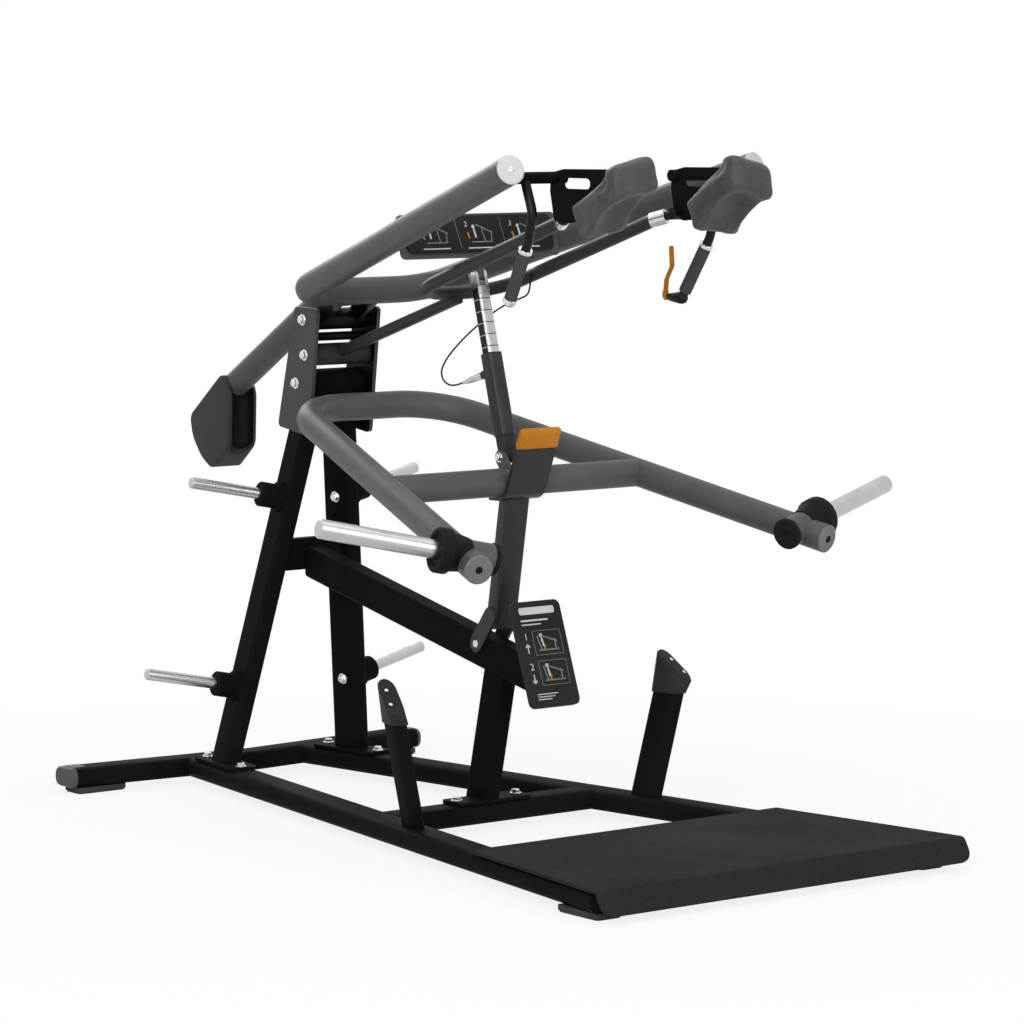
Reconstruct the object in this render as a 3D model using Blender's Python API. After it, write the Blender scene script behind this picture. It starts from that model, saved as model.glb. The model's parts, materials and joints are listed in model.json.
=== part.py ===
"""Plate-loaded lever squat machine: a floor frame, a tower, a loaded lever and a pad arm.

Metres, +Z up.  The user stands on the deck at -Y and faces the tower at +Y.
Stations along Y are written from a datum 1 m behind the deck's front crease, and the
finished machine is then centred over the origin.
"""

import math

import bmesh
import bpy
from mathutils import Matrix, Vector

# Fits
SEAT_GAP = 0.0003
RUN_GAP = 0.0008

# Floor frame
FOOT_HEIGHT = 0.018
RAIL_WIDTH = 0.100
RAIL_HEIGHT = 0.056
RAIL_CORNER = 0.022
RAIL_REAR = Vector((0.1944, 1.330))
RAIL_FRONT = Vector((0.5460, -0.970))
REAR_TUBE_HALF = 0.598
REAR_TUBE_Y = 1.335
REAR_TUBE_SWEEP = 0.090
REAR_CAP_LENGTH = 0.016
MID_TUBE_Y = 0.220
FOOT_LENGTH = 0.160
FOOT_WIDTH = 0.084
FOOT_INSET = 0.004

# Deck
DECK_THICKNESS = 0.008
DECK_REAR_Y = -0.380
DECK_DEPTH = 0.620
DECK_REAR_HALF = 0.513
DECK_FRONT_HALF = 0.607
DECK_LIP_RUN = 0.035
DECK_LIP_DROP = 0.058

# Tower
LEG_WIDTH = 0.050
LEG_DEPTH = 0.100
LEG_CORNER = 0.012
LEG_FOOT_Y = 1.154
LEG_TOP_X = 0.038
FOOT_PLATE_THICKNESS = 0.009
FOOT_PLATE_LENGTH = 0.250
FOOT_PLATE_WIDTH = 0.086
TOWER_BAR_Z = 0.675
TOWER_BAR_HEIGHT = 0.090
TOWER_BAR_DEPTH = 0.050
BRACE_WIDTH = 0.065
BRACE_HEIGHT = 0.090
BRACE_REAR_Z = 0.655
BRACE_FRONT_Z = 0.430
POST_WIDTH = 0.050
POST_DEPTH = 0.096
POST_LEAN = 0.230
POST_SETBACK = 0.020

# Plate storage horns on the tower legs
STORE_HEIGHTS = (0.297, 0.838)
STORE_HORN_RADIUS = 0.0165
STORE_HORN_LENGTH = 0.214
STORE_COLLAR_RADIUS = 0.0355
STORE_COLLAR_LENGTH = 0.066
STORE_TOE = 0.160
STORE_FLANGE_RADIUS = 0.043
STORE_FLANGE_LENGTH = 0.012

# Pivots of the lever and its parallel links, as (Y, Z)
MAIN_PIVOT = Vector((0.955, 1.168))
ARM_PIVOT = Vector((0.920, 1.347))
LINK_PIVOT = Vector((0.911, 1.249))
ARM_REACH = Vector((-1.255, 0.419))
MAIN_HUB_RADIUS = 0.038
ARM_HUB_RADIUS = 0.030
LINK_HUB_RADIUS = 0.031
SPACER_RADIUS = 0.0125
SPACER_AT = Vector((0.928, 1.2975))

# Lever side plates
PLATE_INNER_X = 0.098
PLATE_THICKNESS = 0.012
PLATE_CORNER = 0.014
PLATE_OUTLINE = ((0.958, 1.383), (0.850, 1.380), (0.894, 1.022), (1.044, 1.043))

# Round tube of both wishbones
TUBE_RADIUS = 0.038
CAP_THICKNESS = 0.007

# Load arm
LOAD_END = Vector((0.577, -0.498, 0.809))
LOAD_CORNER = Vector((0.2435, 0.760, 1.111))
LOAD_BEND = 0.190
LOAD_LUG_END = Vector((0.885, 1.104))
LOAD_LUG_RADIUS = 0.028
LOAD_LUG_THICKNESS = 0.018
LOAD_BAR_Y = 0.090
HORN_RADIUS = 0.0245
HORN_LENGTH = 0.327
HORN_ARM_Y = -0.4264
HORN_RISE = 0.0114
HORN_AXIS = Vector((0.9503, 0.2337, 0.2056)).normalized()
HORN_BOSS_RADIUS = 0.039
HORN_BOSS_IN = 0.066
HORN_COLLAR_RADIUS = 0.046
HORN_FLANGE_RADIUS = 0.058
HORN_COLLAR_OUT = 0.086
HORN_RECESS = 0.008

# Pad arm with its counterweight
PAD_ARM_END = Vector((0.402, -0.401, 1.788))
PAD_ARM_CORNER = Vector((0.215, 0.790, 1.430))
PAD_ARM_BEND = 0.110
COUNTER_KNEE = ARM_PIVOT + Vector((0.368, 1.0)) * (ARM_HUB_RADIUS + TUBE_RADIUS)
COUNTER_END = Vector((1.412, 1.135))
COUNTER_BLOCK_WIDTH = 0.120
COUNTER_OUTLINE = ((1.425, 1.176), (1.597, 1.028), (1.440, 0.878), (1.384, 0.950), (1.378, 1.110))
COUNTER_CORNER = 0.040
CROSS_PLATE_Y = 0.252
CROSS_PLATE_Z = (1.540, 1.657)
CROSS_PLATE_THICKNESS = 0.006
CROSS_PLATE_LEAN = 0.230
PLACARD_HALF = 0.245
PLACARD_HEIGHT = 0.098

# Parallel link with its fork
FORK_RADIUS = 0.018
FORK_HALF = 0.146
FORK_APEX = Vector((0.367, 1.440))
FORK_TIP = Vector((0.155, -0.296))
LINK_BAR_END = Vector((0.345, 1.427))
LINK_BAR_WIDTH = 0.030
LINK_BAR_HEIGHT = 0.030
ROD_END_X = 0.183
ROD_END_RADIUS = 0.016
FERRULE_RADIUS = 0.0215

# Shoulder carriages
BRACKET_X = 0.200
BRACKET_THICKNESS = 0.008
PIVOT_TUBE_RADIUS = 0.0155
PIVOT_TUBE_INNER_X = 0.175
PIVOT_BOSS_RADIUS = 0.0175
PIVOT_BOSS_FACE = TUBE_RADIUS + 0.008
BRACKET_SLOT = (0.110, 0.027)
BRACKET_SLOT_AT = Vector((-0.418, 1.752))
PAD_INNER_X = 0.115
PAD_OUTER_X = 0.262
PAD_EDGE = 0.020
PAD_POCKET = 0.020
PAD_REAR_LOW = Vector((-0.474, 1.645))
PAD_REAR_MID = Vector((-0.447, 1.694))
PAD_REAR_TOP = Vector((-0.577, 1.785))
HANDLE_X = 0.305
HANDLE_RADIUS = 0.0125
GRIP_RADIUS = 0.0168
HANDLE_KNEE = Vector((0.303, -0.367, 1.676))
HANDLE_COLLAR = Vector((0.301, -0.343, 1.601))
HANDLE_TIP = Vector((0.288, -0.248, 1.443))
LEVER_PIVOT = Vector((-0.186, 1.443))
LEVER_BOSS = 0.0090
LEVER_HEIGHT = 0.136
LEVER_WIDTH = 0.016

# Height strut
STRUT_FOOT = Vector((0.124, 1.013))
STRUT_HEAD = Vector((0.258, 1.494))
ROD_SIZE = 0.037
SLEEVE_SIZE = ROD_SIZE + 0.009
SLIDE_GAP = 0.0005
SLEEVE_START = 0.058
SLEEVE_TOP = 0.283
ROD_FOOT = 0.180
EAR_THICKNESS = 0.010
EAR_INNER_X = 0.0200
TAB_HALF = 0.009
TAB_RADIUS = 0.016
BARREL_AT = 0.234
BARREL_RADIUS = 0.0085
BARREL_LENGTH = 0.120

# Release cable, a thin free loop chosen by hand
CABLE_DIAMETER = 0.0048
CABLE_ROUTE = (
    (0.001, 0.378, 1.190),
    (0.002, 0.403, 1.195),
    (0.003, 0.421, 1.208),
    (0.006, 0.427, 1.230),
    (0.012, 0.414, 1.258),
    (0.022, 0.391, 1.288),
    (0.034, 0.360, 1.320),
    (0.048, 0.327, 1.350),
    (0.063, 0.295, 1.378),
    (0.0765, 0.270, 1.397),
    (0.0885, 0.249, 1.411),
    (0.0995, 0.230, 1.4205),
    (0.1095, 0.2130, 1.4285),
    (0.1170, 0.2010, 1.4350),
    (0.1215, 0.1940, 1.4440),
    (0.1235, 0.1910, 1.4560),
    (0.1253, 0.1898, 1.4700),
    (0.1267, 0.1890, 1.4840),
    (0.1276, 0.1886, 1.4990),
)

# Rack hook
HOOK_PIVOT = Vector((0.215, 0.505))
HOOK_HALF = 0.065
HOOK_SHEET = 0.010
HOOK_LEAN = math.radians(22.0)
HOOK_LIP_LENGTH = 0.118
HOOK_REAR_RUN = 0.036
HOOK_POST_WIDTH = BRACE_WIDTH + 0.011
HOOK_POST_DEPTH = 0.046
HOOK_EAR_THICKNESS = 0.009
HOOK_CAP_LENGTH = 0.062
HOOK_CAP_THICKNESS = 0.022
HOOK_REST_GAP = 0.0005

# Bump stops
STOP_Y = 0.020
STOP_TOP = Vector((0.480, 0.004, 0.429))
STOP_LENGTH = 0.094
STOP_WIDTH = 0.040
STOP_CAP_RIM = 0.005
STOP_CAP_HEIGHT = 0.076
STOP_SLOPE = math.tan(math.radians(38.0))

# Placard on the brace
BRACE_PLACARD_CENTRE = Vector((-0.030, 0.500))
BRACE_PLACARD_SIZE = (0.164, 0.288)
BRACE_PLACARD_THICKNESS = 0.012
BRACE_PLACARD_LEAN = 0.362

TUBE_SIDES = 20
SMALL_SIDES = 14
ARC_STEPS = 4

RAIL_TOP = FOOT_HEIGHT + RAIL_HEIGHT
PLATE_BASE = RAIL_TOP + SEAT_GAP
PAD_PIVOT = ARM_PIVOT + ARM_REACH
FORK_PIVOT = LINK_PIVOT + ARM_REACH
HUB_HALF = PLATE_INNER_X - SEAT_GAP
STRUT_AXIS = (STRUT_HEAD - STRUT_FOOT).normalized()
STRUT_LENGTH = (STRUT_HEAD - STRUT_FOOT).length

SIDES = (("left", -1), ("right", 1))

# Finish: base colour, roughness, metallic
FINISHES = {
    "black_paint": ((0.012, 0.012, 0.012, 1), 0.45, 0.0),
    "grey_paint": ((0.090, 0.088, 0.088, 1), 0.38, 0.6),
    "plate_paint": ((0.070, 0.062, 0.058, 1), 0.42, 0.5),
    "rubber": ((0.020, 0.020, 0.020, 1), 0.75, 0.0),
    "deck_coating": ((0.032, 0.032, 0.032, 1), 0.80, 0.0),
    "pad_vinyl": ((0.045, 0.045, 0.046, 1), 0.55, 0.0),
    "bright_steel": ((0.560, 0.560, 0.540, 1), 0.28, 1.0),
    "pale_plastic": ((0.680, 0.680, 0.670, 1), 0.45, 0.0),
    "grey_plastic": ((0.180, 0.180, 0.180, 1), 0.50, 0.0),
    "orange_plastic": ((0.480, 0.180, 0.020, 1), 0.50, 0.0),
    "placard_print": ((0.016, 0.021, 0.019, 1), 0.40, 0.0),
}


def yz(x, point):
    """Point at width x from a (Y, Z) pair."""
    return Vector((x, point[0], point[1]))


def mirrored(point, sign):
    """Point on the left (-1) or right (+1) side of the machine."""
    return Vector((point.x * sign, point.y, point.z))


def rail_x(y):
    """Half-spacing of the rail centre lines at a station."""
    share = (RAIL_REAR.y - y) / (RAIL_REAR.y - RAIL_FRONT.y)
    return RAIL_REAR.x + (RAIL_FRONT.x - RAIL_REAR.x) * share


def point_at_y(start, end, y):
    """Point of the line start to end at station y."""
    return start.lerp(end, (y - start.y) / (end.y - start.y))


# Outlines

def rounded(points, radius, steps=ARC_STEPS):
    """Closed 2-D outline whose corners are arcs of one radius, or a radius per corner."""
    corners = [Vector(p) for p in points]
    radii = radius if isinstance(radius, (list, tuple)) else [radius] * len(corners)
    outline = []
    for index, corner in enumerate(corners):
        before = (corners[index - 1] - corner).normalized()
        after = (corners[(index + 1) % len(corners)] - corner).normalized()
        half = before.angle(after) / 2
        reach = radii[index] / math.tan(half)
        centre = corner + (before + after).normalized() * (radii[index] / math.sin(half))
        start = corner + before * reach - centre
        sweep = math.pi - 2 * half
        turn = sweep if before.x * after.y - before.y * after.x < 0 else -sweep
        for step in range(steps + 1):
            angle = turn * step / steps
            spun = Matrix.Rotation(angle, 2) @ start
            outline.append(centre + spun)
    return outline


def rectangle(width, height, corner):
    """Rounded rectangle about its centre."""
    half_w = width / 2
    half_h = height / 2
    return rounded([(-half_w, -half_h), (half_w, -half_h), (half_w, half_h), (-half_w, half_h)], corner)


def stadium(length, width, steps=6):
    """Slot outline, long along its first coordinate."""
    outline = []
    for end, first in ((1, -90), (-1, 90)):
        centre = end * (length - width) / 2
        for step in range(steps + 1):
            angle = math.radians(first + 180 * step / steps)
            outline.append(Vector((centre + width / 2 * math.cos(angle), width / 2 * math.sin(angle))))
    return outline


def bent_path(corners, radius, steps=7):
    """3-D centre line through corners, with every inner corner an arc."""
    path = [corners[0]]
    for before, corner, after in zip(corners, corners[1:], corners[2:]):
        back = (before - corner).normalized()
        ahead = (after - corner).normalized()
        half = back.angle(ahead) / 2
        centre = corner + (back + ahead).normalized() * (radius / math.sin(half))
        start = corner + back * (radius / math.tan(half)) - centre
        normal = back.cross(ahead)
        for step in range(steps + 1):
            turn = Matrix.Rotation(-(math.pi - 2 * half) * step / steps, 3, normal)
            path.append(centre + turn @ start)
    path.append(corners[-1])
    return path


def smooth_path(points, spacing):
    """Even points along a smooth curve through the route's own points."""
    dense = []
    padded = [points[0] * 2 - points[1]] + list(points) + [points[-1] * 2 - points[-2]]
    for a, b, c, d in zip(padded, padded[1:], padded[2:], padded[3:]):
        for step in range(8):
            t = step / 8
            dense.append(0.5 * (2 * b + (c - a) * t + (2 * a - 5 * b + 4 * c - d) * t ** 2
                                + (3 * b - a - 3 * c + d) * t ** 3))
    dense.append(points[-1])
    total = sum((q - p).length for p, q in zip(dense, dense[1:]))
    count = max(2, round(total / spacing))
    even = [dense[0]]
    travelled = 0.0
    for p, q in zip(dense, dense[1:]):
        step = (q - p).length
        while len(even) < count and travelled + step >= total * len(even) / count:
            even.append(p.lerp(q, (total * len(even) / count - travelled) / step))
        travelled += step
    even.append(dense[-1])
    return even


# Solids

def mesh_from(bm):
    """Close a bmesh into a mesh whose faces point outwards."""
    bmesh.ops.recalc_face_normals(bm, faces=bm.faces)
    mesh = bpy.data.meshes.new("shape")
    bm.to_mesh(mesh)
    bm.free()
    return mesh


def loft(loops):
    """Solid skinned over matching loops of points, with flat ends."""
    bm = bmesh.new()
    rings = [[bm.verts.new(point) for point in loop] for loop in loops]
    for near, far in zip(rings, rings[1:]):
        for index in range(len(near)):
            follow = (index + 1) % len(near)
            bm.faces.new((near[index], near[follow], far[follow], far[index]))
    bm.faces.new(rings[0])
    bm.faces.new(rings[-1])
    return mesh_from(bm)


def prism(outline, place, depth):
    """Outline drawn by place(a, b) and extruded along a vector."""
    bm = bmesh.new()
    face = bm.faces.new([bm.verts.new(place(point[0], point[1])) for point in outline])
    grown = bmesh.ops.extrude_face_region(bm, geom=[face])
    moved = [item for item in grown["geom"] if isinstance(item, bmesh.types.BMVert)]
    bmesh.ops.translate(bm, verts=moved, vec=depth)
    return mesh_from(bm)


def side_plate(outline, x_from, x_to):
    """Outline in the side view, (Y, Z), as a plate between two widths."""
    return prism(outline, lambda a, b: Vector((x_from, a, b)), Vector((x_to - x_from, 0, 0)))


def ring_axes(axis):
    """Two unit vectors square to an axis."""
    helper = Vector((0, 0, 1)) if abs(axis.z) < 0.9 else Vector((1, 0, 0))
    first = axis.cross(helper).normalized()
    return first, axis.cross(first).normalized()


def turned(origin, axis, profile, sides=SMALL_SIDES):
    """Turned solid: profile is (distance along the axis, radius) pairs."""
    axis = axis.normalized()
    first, second = ring_axes(axis)
    loops = []
    for distance, radius in profile:
        centre = origin + axis * distance
        loops.append([centre + (first * math.cos(a) + second * math.sin(a)) * radius
                      for a in (2 * math.pi * k / sides for k in range(sides))])
    return loft(loops)


def rod(start, end, radius, sides=SMALL_SIDES):
    """Plain round bar between two points."""
    return turned(start, end - start, ((0, radius), ((end - start).length, radius)), sides)


def tube(path, radius, sides=TUBE_SIDES):
    """Round tube with closed ends along a path, made from a bevelled curve."""
    curve = bpy.data.curves.new("path", "CURVE")
    curve.dimensions = "3D"
    curve.bevel_depth = radius
    curve.bevel_resolution = (sides - 4) // 2
    curve.use_fill_caps = True
    spline = curve.splines.new("POLY")
    spline.points.add(len(path) - 1)
    for point, place in zip(spline.points, path):
        point.co = (*place, 1)
    carrier = bpy.data.objects.new("path", curve)
    bpy.context.collection.objects.link(carrier)
    mesh = evaluated_mesh(carrier)
    bm = bmesh.new()
    bm.from_mesh(mesh)
    bmesh.ops.remove_doubles(bm, verts=bm.verts, dist=1e-6)
    bpy.data.meshes.remove(mesh)
    bpy.data.objects.remove(carrier)
    bpy.data.curves.remove(curve)
    return mesh_from(bm)


def evaluated_mesh(carrier):
    """Mesh of an object with its modifiers applied."""
    graph = bpy.context.evaluated_depsgraph_get()
    return bpy.data.meshes.new_from_object(carrier.evaluated_get(graph))


def combine(mesh, others, operation):
    """Union with other meshes, or difference from them, one at a time."""
    for other in others:
        body = bpy.data.objects.new("body", mesh)
        tool = bpy.data.objects.new("tool", other)
        bpy.context.collection.objects.link(body)
        bpy.context.collection.objects.link(tool)
        modifier = body.modifiers.new("combine", "BOOLEAN")
        modifier.operation = operation
        modifier.object = tool
        result = evaluated_mesh(body)
        bpy.data.objects.remove(body)
        bpy.data.objects.remove(tool)
        bpy.data.meshes.remove(mesh)
        bpy.data.meshes.remove(other)
        mesh = result
    return mesh


def fuse(mesh, *others):
    """Weld other solids to a solid."""
    return combine(mesh, others, "UNION")


def cut(mesh, *others):
    """Cope or bore a solid with other solids."""
    return combine(mesh, others, "DIFFERENCE")


# Assembly tree: body name, parent body, joint axis position

BODY_TREE = (
    ("base", None, Vector((0, 0, 0))),
    ("lever", "base", yz(0, MAIN_PIVOT)),
    ("upper_arm", "lever", yz(0, ARM_PIVOT)),
    ("link", "lever", yz(0, LINK_PIVOT)),
    ("carriage_left", "upper_arm", yz(0, PAD_PIVOT)),
    ("carriage_right", "upper_arm", yz(0, PAD_PIVOT)),
    ("release", "carriage_right", yz(HANDLE_TIP.x, LEVER_PIVOT)),
    ("sleeve", "lever", yz(0, STRUT_FOOT)),
    ("rod", "sleeve", yz(0, STRUT_HEAD)),
    ("hook", "base", yz(0, HOOK_PIVOT)),
)


class Machine:
    """Collects the named pieces under one empty per moving body."""

    def __init__(self):
        self.origins = {}
        self.carriers = {}
        self.materials = {}
        self.pieces = []
        for name, parent, origin in BODY_TREE:
            carrier = bpy.data.objects.new(name + "_axis", None)
            bpy.context.collection.objects.link(carrier)
            carrier.location = origin
            if parent:
                carrier.parent = self.carriers[parent]
                carrier.location = origin - self.origins[parent]
            self.origins[name] = origin
            self.carriers[name] = carrier

    def material(self, finish):
        """Principled material of a finish, made once."""
        if finish not in self.materials:
            colour, roughness, metallic = FINISHES[finish]
            material = bpy.data.materials.new(finish)
            material.use_nodes = True
            shader = material.node_tree.nodes["Principled BSDF"]
            shader.inputs["Base Color"].default_value = colour
            shader.inputs["Roughness"].default_value = roughness
            shader.inputs["Metallic"].default_value = metallic
            material.diffuse_color = colour
            self.materials[finish] = material
        return self.materials[finish]

    def add(self, name, mesh, finish, body="base"):
        """Place a solid, drawn in machine coordinates, on the body that carries it."""
        mesh.transform(Matrix.Translation(-self.origins[body]))
        mesh.name = name
        mesh.materials.clear()
        mesh.materials.append(self.material(finish))
        mesh.shade_smooth()
        mesh.set_sharp_from_angle(angle=math.radians(35))
        piece = bpy.data.objects.new(name, mesh)
        piece.parent = self.carriers[body]
        bpy.context.collection.objects.link(piece)
        self.pieces.append(piece)

    def centre(self):
        """Move the machine so that the middle of its footprint is the origin."""
        bpy.context.view_layer.update()
        stations = [(piece.matrix_world @ Vector(corner)).y for piece in self.pieces for corner in piece.bound_box]
        self.carriers["base"].location.y -= (min(stations) + max(stations)) / 2


# Floor frame

def rear_tube_solid(grow=0.0):
    """Swept-back rear cross tube, optionally grown on all sides to make a seat."""
    outline = rectangle(RAIL_WIDTH + 2 * grow, RAIL_HEIGHT + 2 * grow, RAIL_CORNER + grow)
    loops = []
    for x in (-REAR_TUBE_HALF, 0.0, REAR_TUBE_HALF):
        y = REAR_TUBE_Y + REAR_TUBE_SWEEP * abs(x)
        loops.append([Vector((x, y + a, FOOT_HEIGHT + RAIL_HEIGHT / 2 + b)) for a, b in outline])
    return loft(loops)


def rail_solid(sign, grow=0.0):
    """Side rail, running out towards the front."""
    outline = rectangle(RAIL_WIDTH + 2 * grow, RAIL_HEIGHT + 2 * grow, RAIL_CORNER + grow)
    along = (RAIL_FRONT - RAIL_REAR).normalized()
    across = Vector((-along.y, along.x))
    loops = []
    for end in (RAIL_REAR, RAIL_FRONT):
        loops.append([Vector((sign * (end.x + across.x * a), end.y + across.y * a,
                              FOOT_HEIGHT + RAIL_HEIGHT / 2 + b)) for a, b in outline])
    return loft(loops)


def add_floor_frame(machine):
    """Rails, cross tubes, end caps and rubber feet."""
    machine.add("rear_cross_tube", rear_tube_solid(), "black_paint")
    for side, sign in SIDES:
        machine.add("rail_" + side, cut(rail_solid(sign), rear_tube_solid(SEAT_GAP)), "black_paint")
    outline = rectangle(RAIL_WIDTH, RAIL_HEIGHT, RAIL_CORNER)
    half = rail_x(MID_TUBE_Y)
    place = lambda a, b: Vector((-half, MID_TUBE_Y + a, FOOT_HEIGHT + RAIL_HEIGHT / 2 + b))
    middle = prism(outline, place, Vector((2 * half, 0, 0)))
    rails = [rail_solid(sign, SEAT_GAP) for _, sign in SIDES]
    machine.add("mid_cross_tube", cut(middle, *rails), "black_paint")
    for side, sign in SIDES:
        loops = []
        for reach, share in ((SEAT_GAP, 1.0), (REAR_CAP_LENGTH * 0.6, 1.0), (REAR_CAP_LENGTH, 0.88)):
            x = REAR_TUBE_HALF + reach
            y = REAR_TUBE_Y + REAR_TUBE_SWEEP * x
            loops.append([Vector((sign * x, y + a * share, FOOT_HEIGHT + RAIL_HEIGHT / 2 + b * share))
                          for a, b in outline])
        machine.add("rear_end_cap_" + side, loft(loops), "grey_plastic")
        x = REAR_TUBE_HALF - FOOT_INSET - FOOT_LENGTH / 2
        machine.add("rear_foot_" + side, foot(sign * x, REAR_TUBE_Y + REAR_TUBE_SWEEP * x, 0.0), "rubber")
        y = RAIL_FRONT.y + FOOT_LENGTH / 2 + FOOT_INSET
        machine.add("front_foot_" + side, foot(sign * rail_x(y), y, math.pi / 2), "rubber")


def foot(x, y, turn):
    """Rubber foot block under a tube, tapered towards the floor."""
    spin = Matrix.Rotation(turn, 3, "Z")
    loops = []
    for z, shrink in ((0.0, 0.004), (FOOT_HEIGHT * 0.35, 0.0), (FOOT_HEIGHT - SEAT_GAP, 0.0)):
        outline = rectangle(FOOT_LENGTH - 2 * shrink, FOOT_WIDTH - 2 * shrink, 0.012)
        loops.append([Vector((x, y, z)) + spin @ Vector((a, b, 0)) for a, b in outline])
    return loft(loops)


def add_deck(machine):
    """Folded standing deck, wider at the front, with a sloped front lip."""
    crease = DECK_REAR_Y - DECK_DEPTH
    top = PLATE_BASE + DECK_THICKNESS
    lip = Vector((-DECK_LIP_RUN, -DECK_LIP_DROP)).normalized()
    inward = Vector((-lip.y, lip.x))
    tip = Vector((crease - DECK_LIP_RUN, top - DECK_LIP_DROP))
    tip_in = tip + inward * DECK_THICKNESS
    bend_in = tip_in - lip * ((PLATE_BASE - tip_in.y) / -lip.y)
    outline = [(DECK_REAR_Y, top), (crease, top), tip, tip_in, bend_in, (DECK_REAR_Y, PLATE_BASE)]
    flare = (DECK_FRONT_HALF - DECK_REAR_HALF) / DECK_DEPTH
    loops = []
    for sign in (-1, 1):
        loops.append([Vector((sign * (DECK_REAR_HALF + flare * min(DECK_REAR_Y - y, DECK_DEPTH)), y, z))
                      for y, z in outline])
    machine.add("deck", loft(loops), "deck_coating")


# Tower

def leg_axis(sign):
    """Foot and head of a tower leg."""
    foot_point = Vector((rail_x(LEG_FOOT_Y), LEG_FOOT_Y, PLATE_BASE + FOOT_PLATE_THICKNESS / 2))
    head_point = Vector((LEG_TOP_X, MAIN_PIVOT.x + 0.008, MAIN_PIVOT.y))
    return mirrored(foot_point, sign), mirrored(head_point, sign)


def leg_frame(sign):
    """Outward normal and depth direction of a leg's faces."""
    foot_point, head_point = leg_axis(sign)
    axis = (head_point - foot_point).normalized()
    depth = Vector((-sign * STORE_TOE, 1, 0))
    outward = depth.cross(axis).normalized() * sign
    return axis, outward, axis.cross(outward).normalized()


def leg_solid(sign, grow=0.0):
    """Rectangular leg tube, without its foot plate."""
    foot_point, head_point = leg_axis(sign)
    axis, outward, depth = leg_frame(sign)
    outline = rectangle(LEG_WIDTH + 2 * grow, LEG_DEPTH + 2 * grow, LEG_CORNER + grow)
    loops = []
    for end in (foot_point, head_point):
        stretch = lambda v: v - axis * (v.z / axis.z)
        loops.append([end + stretch(outward) * a + stretch(depth) * b for a, b in outline])
    return loft(loops)


def store_collar(sign, height):
    """Root and direction of a storage horn's collar on the leg's outer face."""
    foot_point, head_point = leg_axis(sign)
    axis, outward, _ = leg_frame(sign)
    centre = foot_point.lerp(head_point, (height - foot_point.z) / (head_point.z - foot_point.z))
    return centre, outward


def add_tower(machine):
    """Legs with storage collars, pivot head, crossbar, storage horns."""
    head = rod(yz(-HUB_HALF, MAIN_PIVOT), yz(HUB_HALF, MAIN_PIVOT), MAIN_HUB_RADIUS, TUBE_SIDES)
    machine.add("pivot_head", head, "black_paint")
    reach = HUB_HALF + SEAT_GAP
    rail_along = (RAIL_FRONT - RAIL_REAR).normalized()
    for side, sign in SIDES:
        plate_outline = rectangle(FOOT_PLATE_WIDTH, FOOT_PLATE_LENGTH, 0.016)
        along = Vector((sign * rail_along.x, rail_along.y, 0))
        across = Vector((along.y, -along.x, 0))
        base = Vector((sign * rail_x(LEG_FOOT_Y), LEG_FOOT_Y, PLATE_BASE))
        place = lambda a, b: base + across * a + along * b
        foot_plate = prism(plate_outline, place, Vector((0, 0, FOOT_PLATE_THICKNESS)))
        fittings = []
        for index, height in enumerate(STORE_HEIGHTS):
            root, outward = store_collar(sign, height)
            face = LEG_WIDTH / 2
            profile = ((face - 0.004, STORE_FLANGE_RADIUS), (face + STORE_FLANGE_LENGTH, STORE_FLANGE_RADIUS),
                       (face + STORE_FLANGE_LENGTH + 0.003, STORE_COLLAR_RADIUS),
                       (face + STORE_COLLAR_LENGTH - 0.003, STORE_COLLAR_RADIUS),
                       (face + STORE_COLLAR_LENGTH, STORE_COLLAR_RADIUS - 0.003))
            fittings.append(turned(root, outward, profile, SMALL_SIDES + 4))
            start = face + STORE_COLLAR_LENGTH + SEAT_GAP
            horn = ((start, STORE_HORN_RADIUS), (start + STORE_HORN_LENGTH - 0.003, STORE_HORN_RADIUS),
                    (start + STORE_HORN_LENGTH, STORE_HORN_RADIUS - 0.003))
            name = "storage_horn_" + ("lower", "upper")[index] + "_" + side
            machine.add(name, turned(root, outward, horn), "bright_steel")
        seat = rod(yz(-reach, MAIN_PIVOT), yz(reach, MAIN_PIVOT), MAIN_HUB_RADIUS + SEAT_GAP, TUBE_SIDES)
        leg = fuse(cut(leg_solid(sign), seat), foot_plate, *fittings)
        machine.add("tower_leg_" + side, leg, "black_paint")
    machine.add("tower_crossbar", tower_bar(), "black_paint")


def tower_bar_station():
    """Station of the crossbar between the legs."""
    foot_point, head_point = leg_axis(1)
    return foot_point.lerp(head_point, (TOWER_BAR_Z - foot_point.z) / (head_point.z - foot_point.z))


def tower_bar():
    """Crossbar coped to both legs."""
    centre = tower_bar_station()
    outline = rectangle(TOWER_BAR_DEPTH, TOWER_BAR_HEIGHT, LEG_CORNER)
    place = lambda a, b: Vector((-centre.x, centre.y + a, TOWER_BAR_Z + b))
    bar = prism(outline, place, Vector((2 * centre.x, 0, 0)))
    return cut(bar, *[leg_solid(sign, SEAT_GAP) for _, sign in SIDES])


def brace_plane():
    """Middle of the placard's back face and its outward and upward directions in (Y, Z)."""
    upward = Vector((BRACE_PLACARD_LEAN, 1)).normalized()
    facing = Vector((-upward.y, upward.x))
    return BRACE_PLACARD_CENTRE - facing * (BRACE_PLACARD_THICKNESS / 2), facing, upward


def brace_line():
    """Rear end of the brace's centre line, its direction and its upward normal in (Y, Z)."""
    back, facing, _ = brace_plane()
    rear = Vector((tower_bar_station().y - TOWER_BAR_DEPTH / 2 - SEAT_GAP, BRACE_REAR_Z))
    front_y = back.x + (back.y - BRACE_FRONT_Z) * facing.y / facing.x
    along = (Vector((front_y, BRACE_FRONT_Z)) - rear).normalized()
    return rear, along, Vector((along.y, -along.x))


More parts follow.
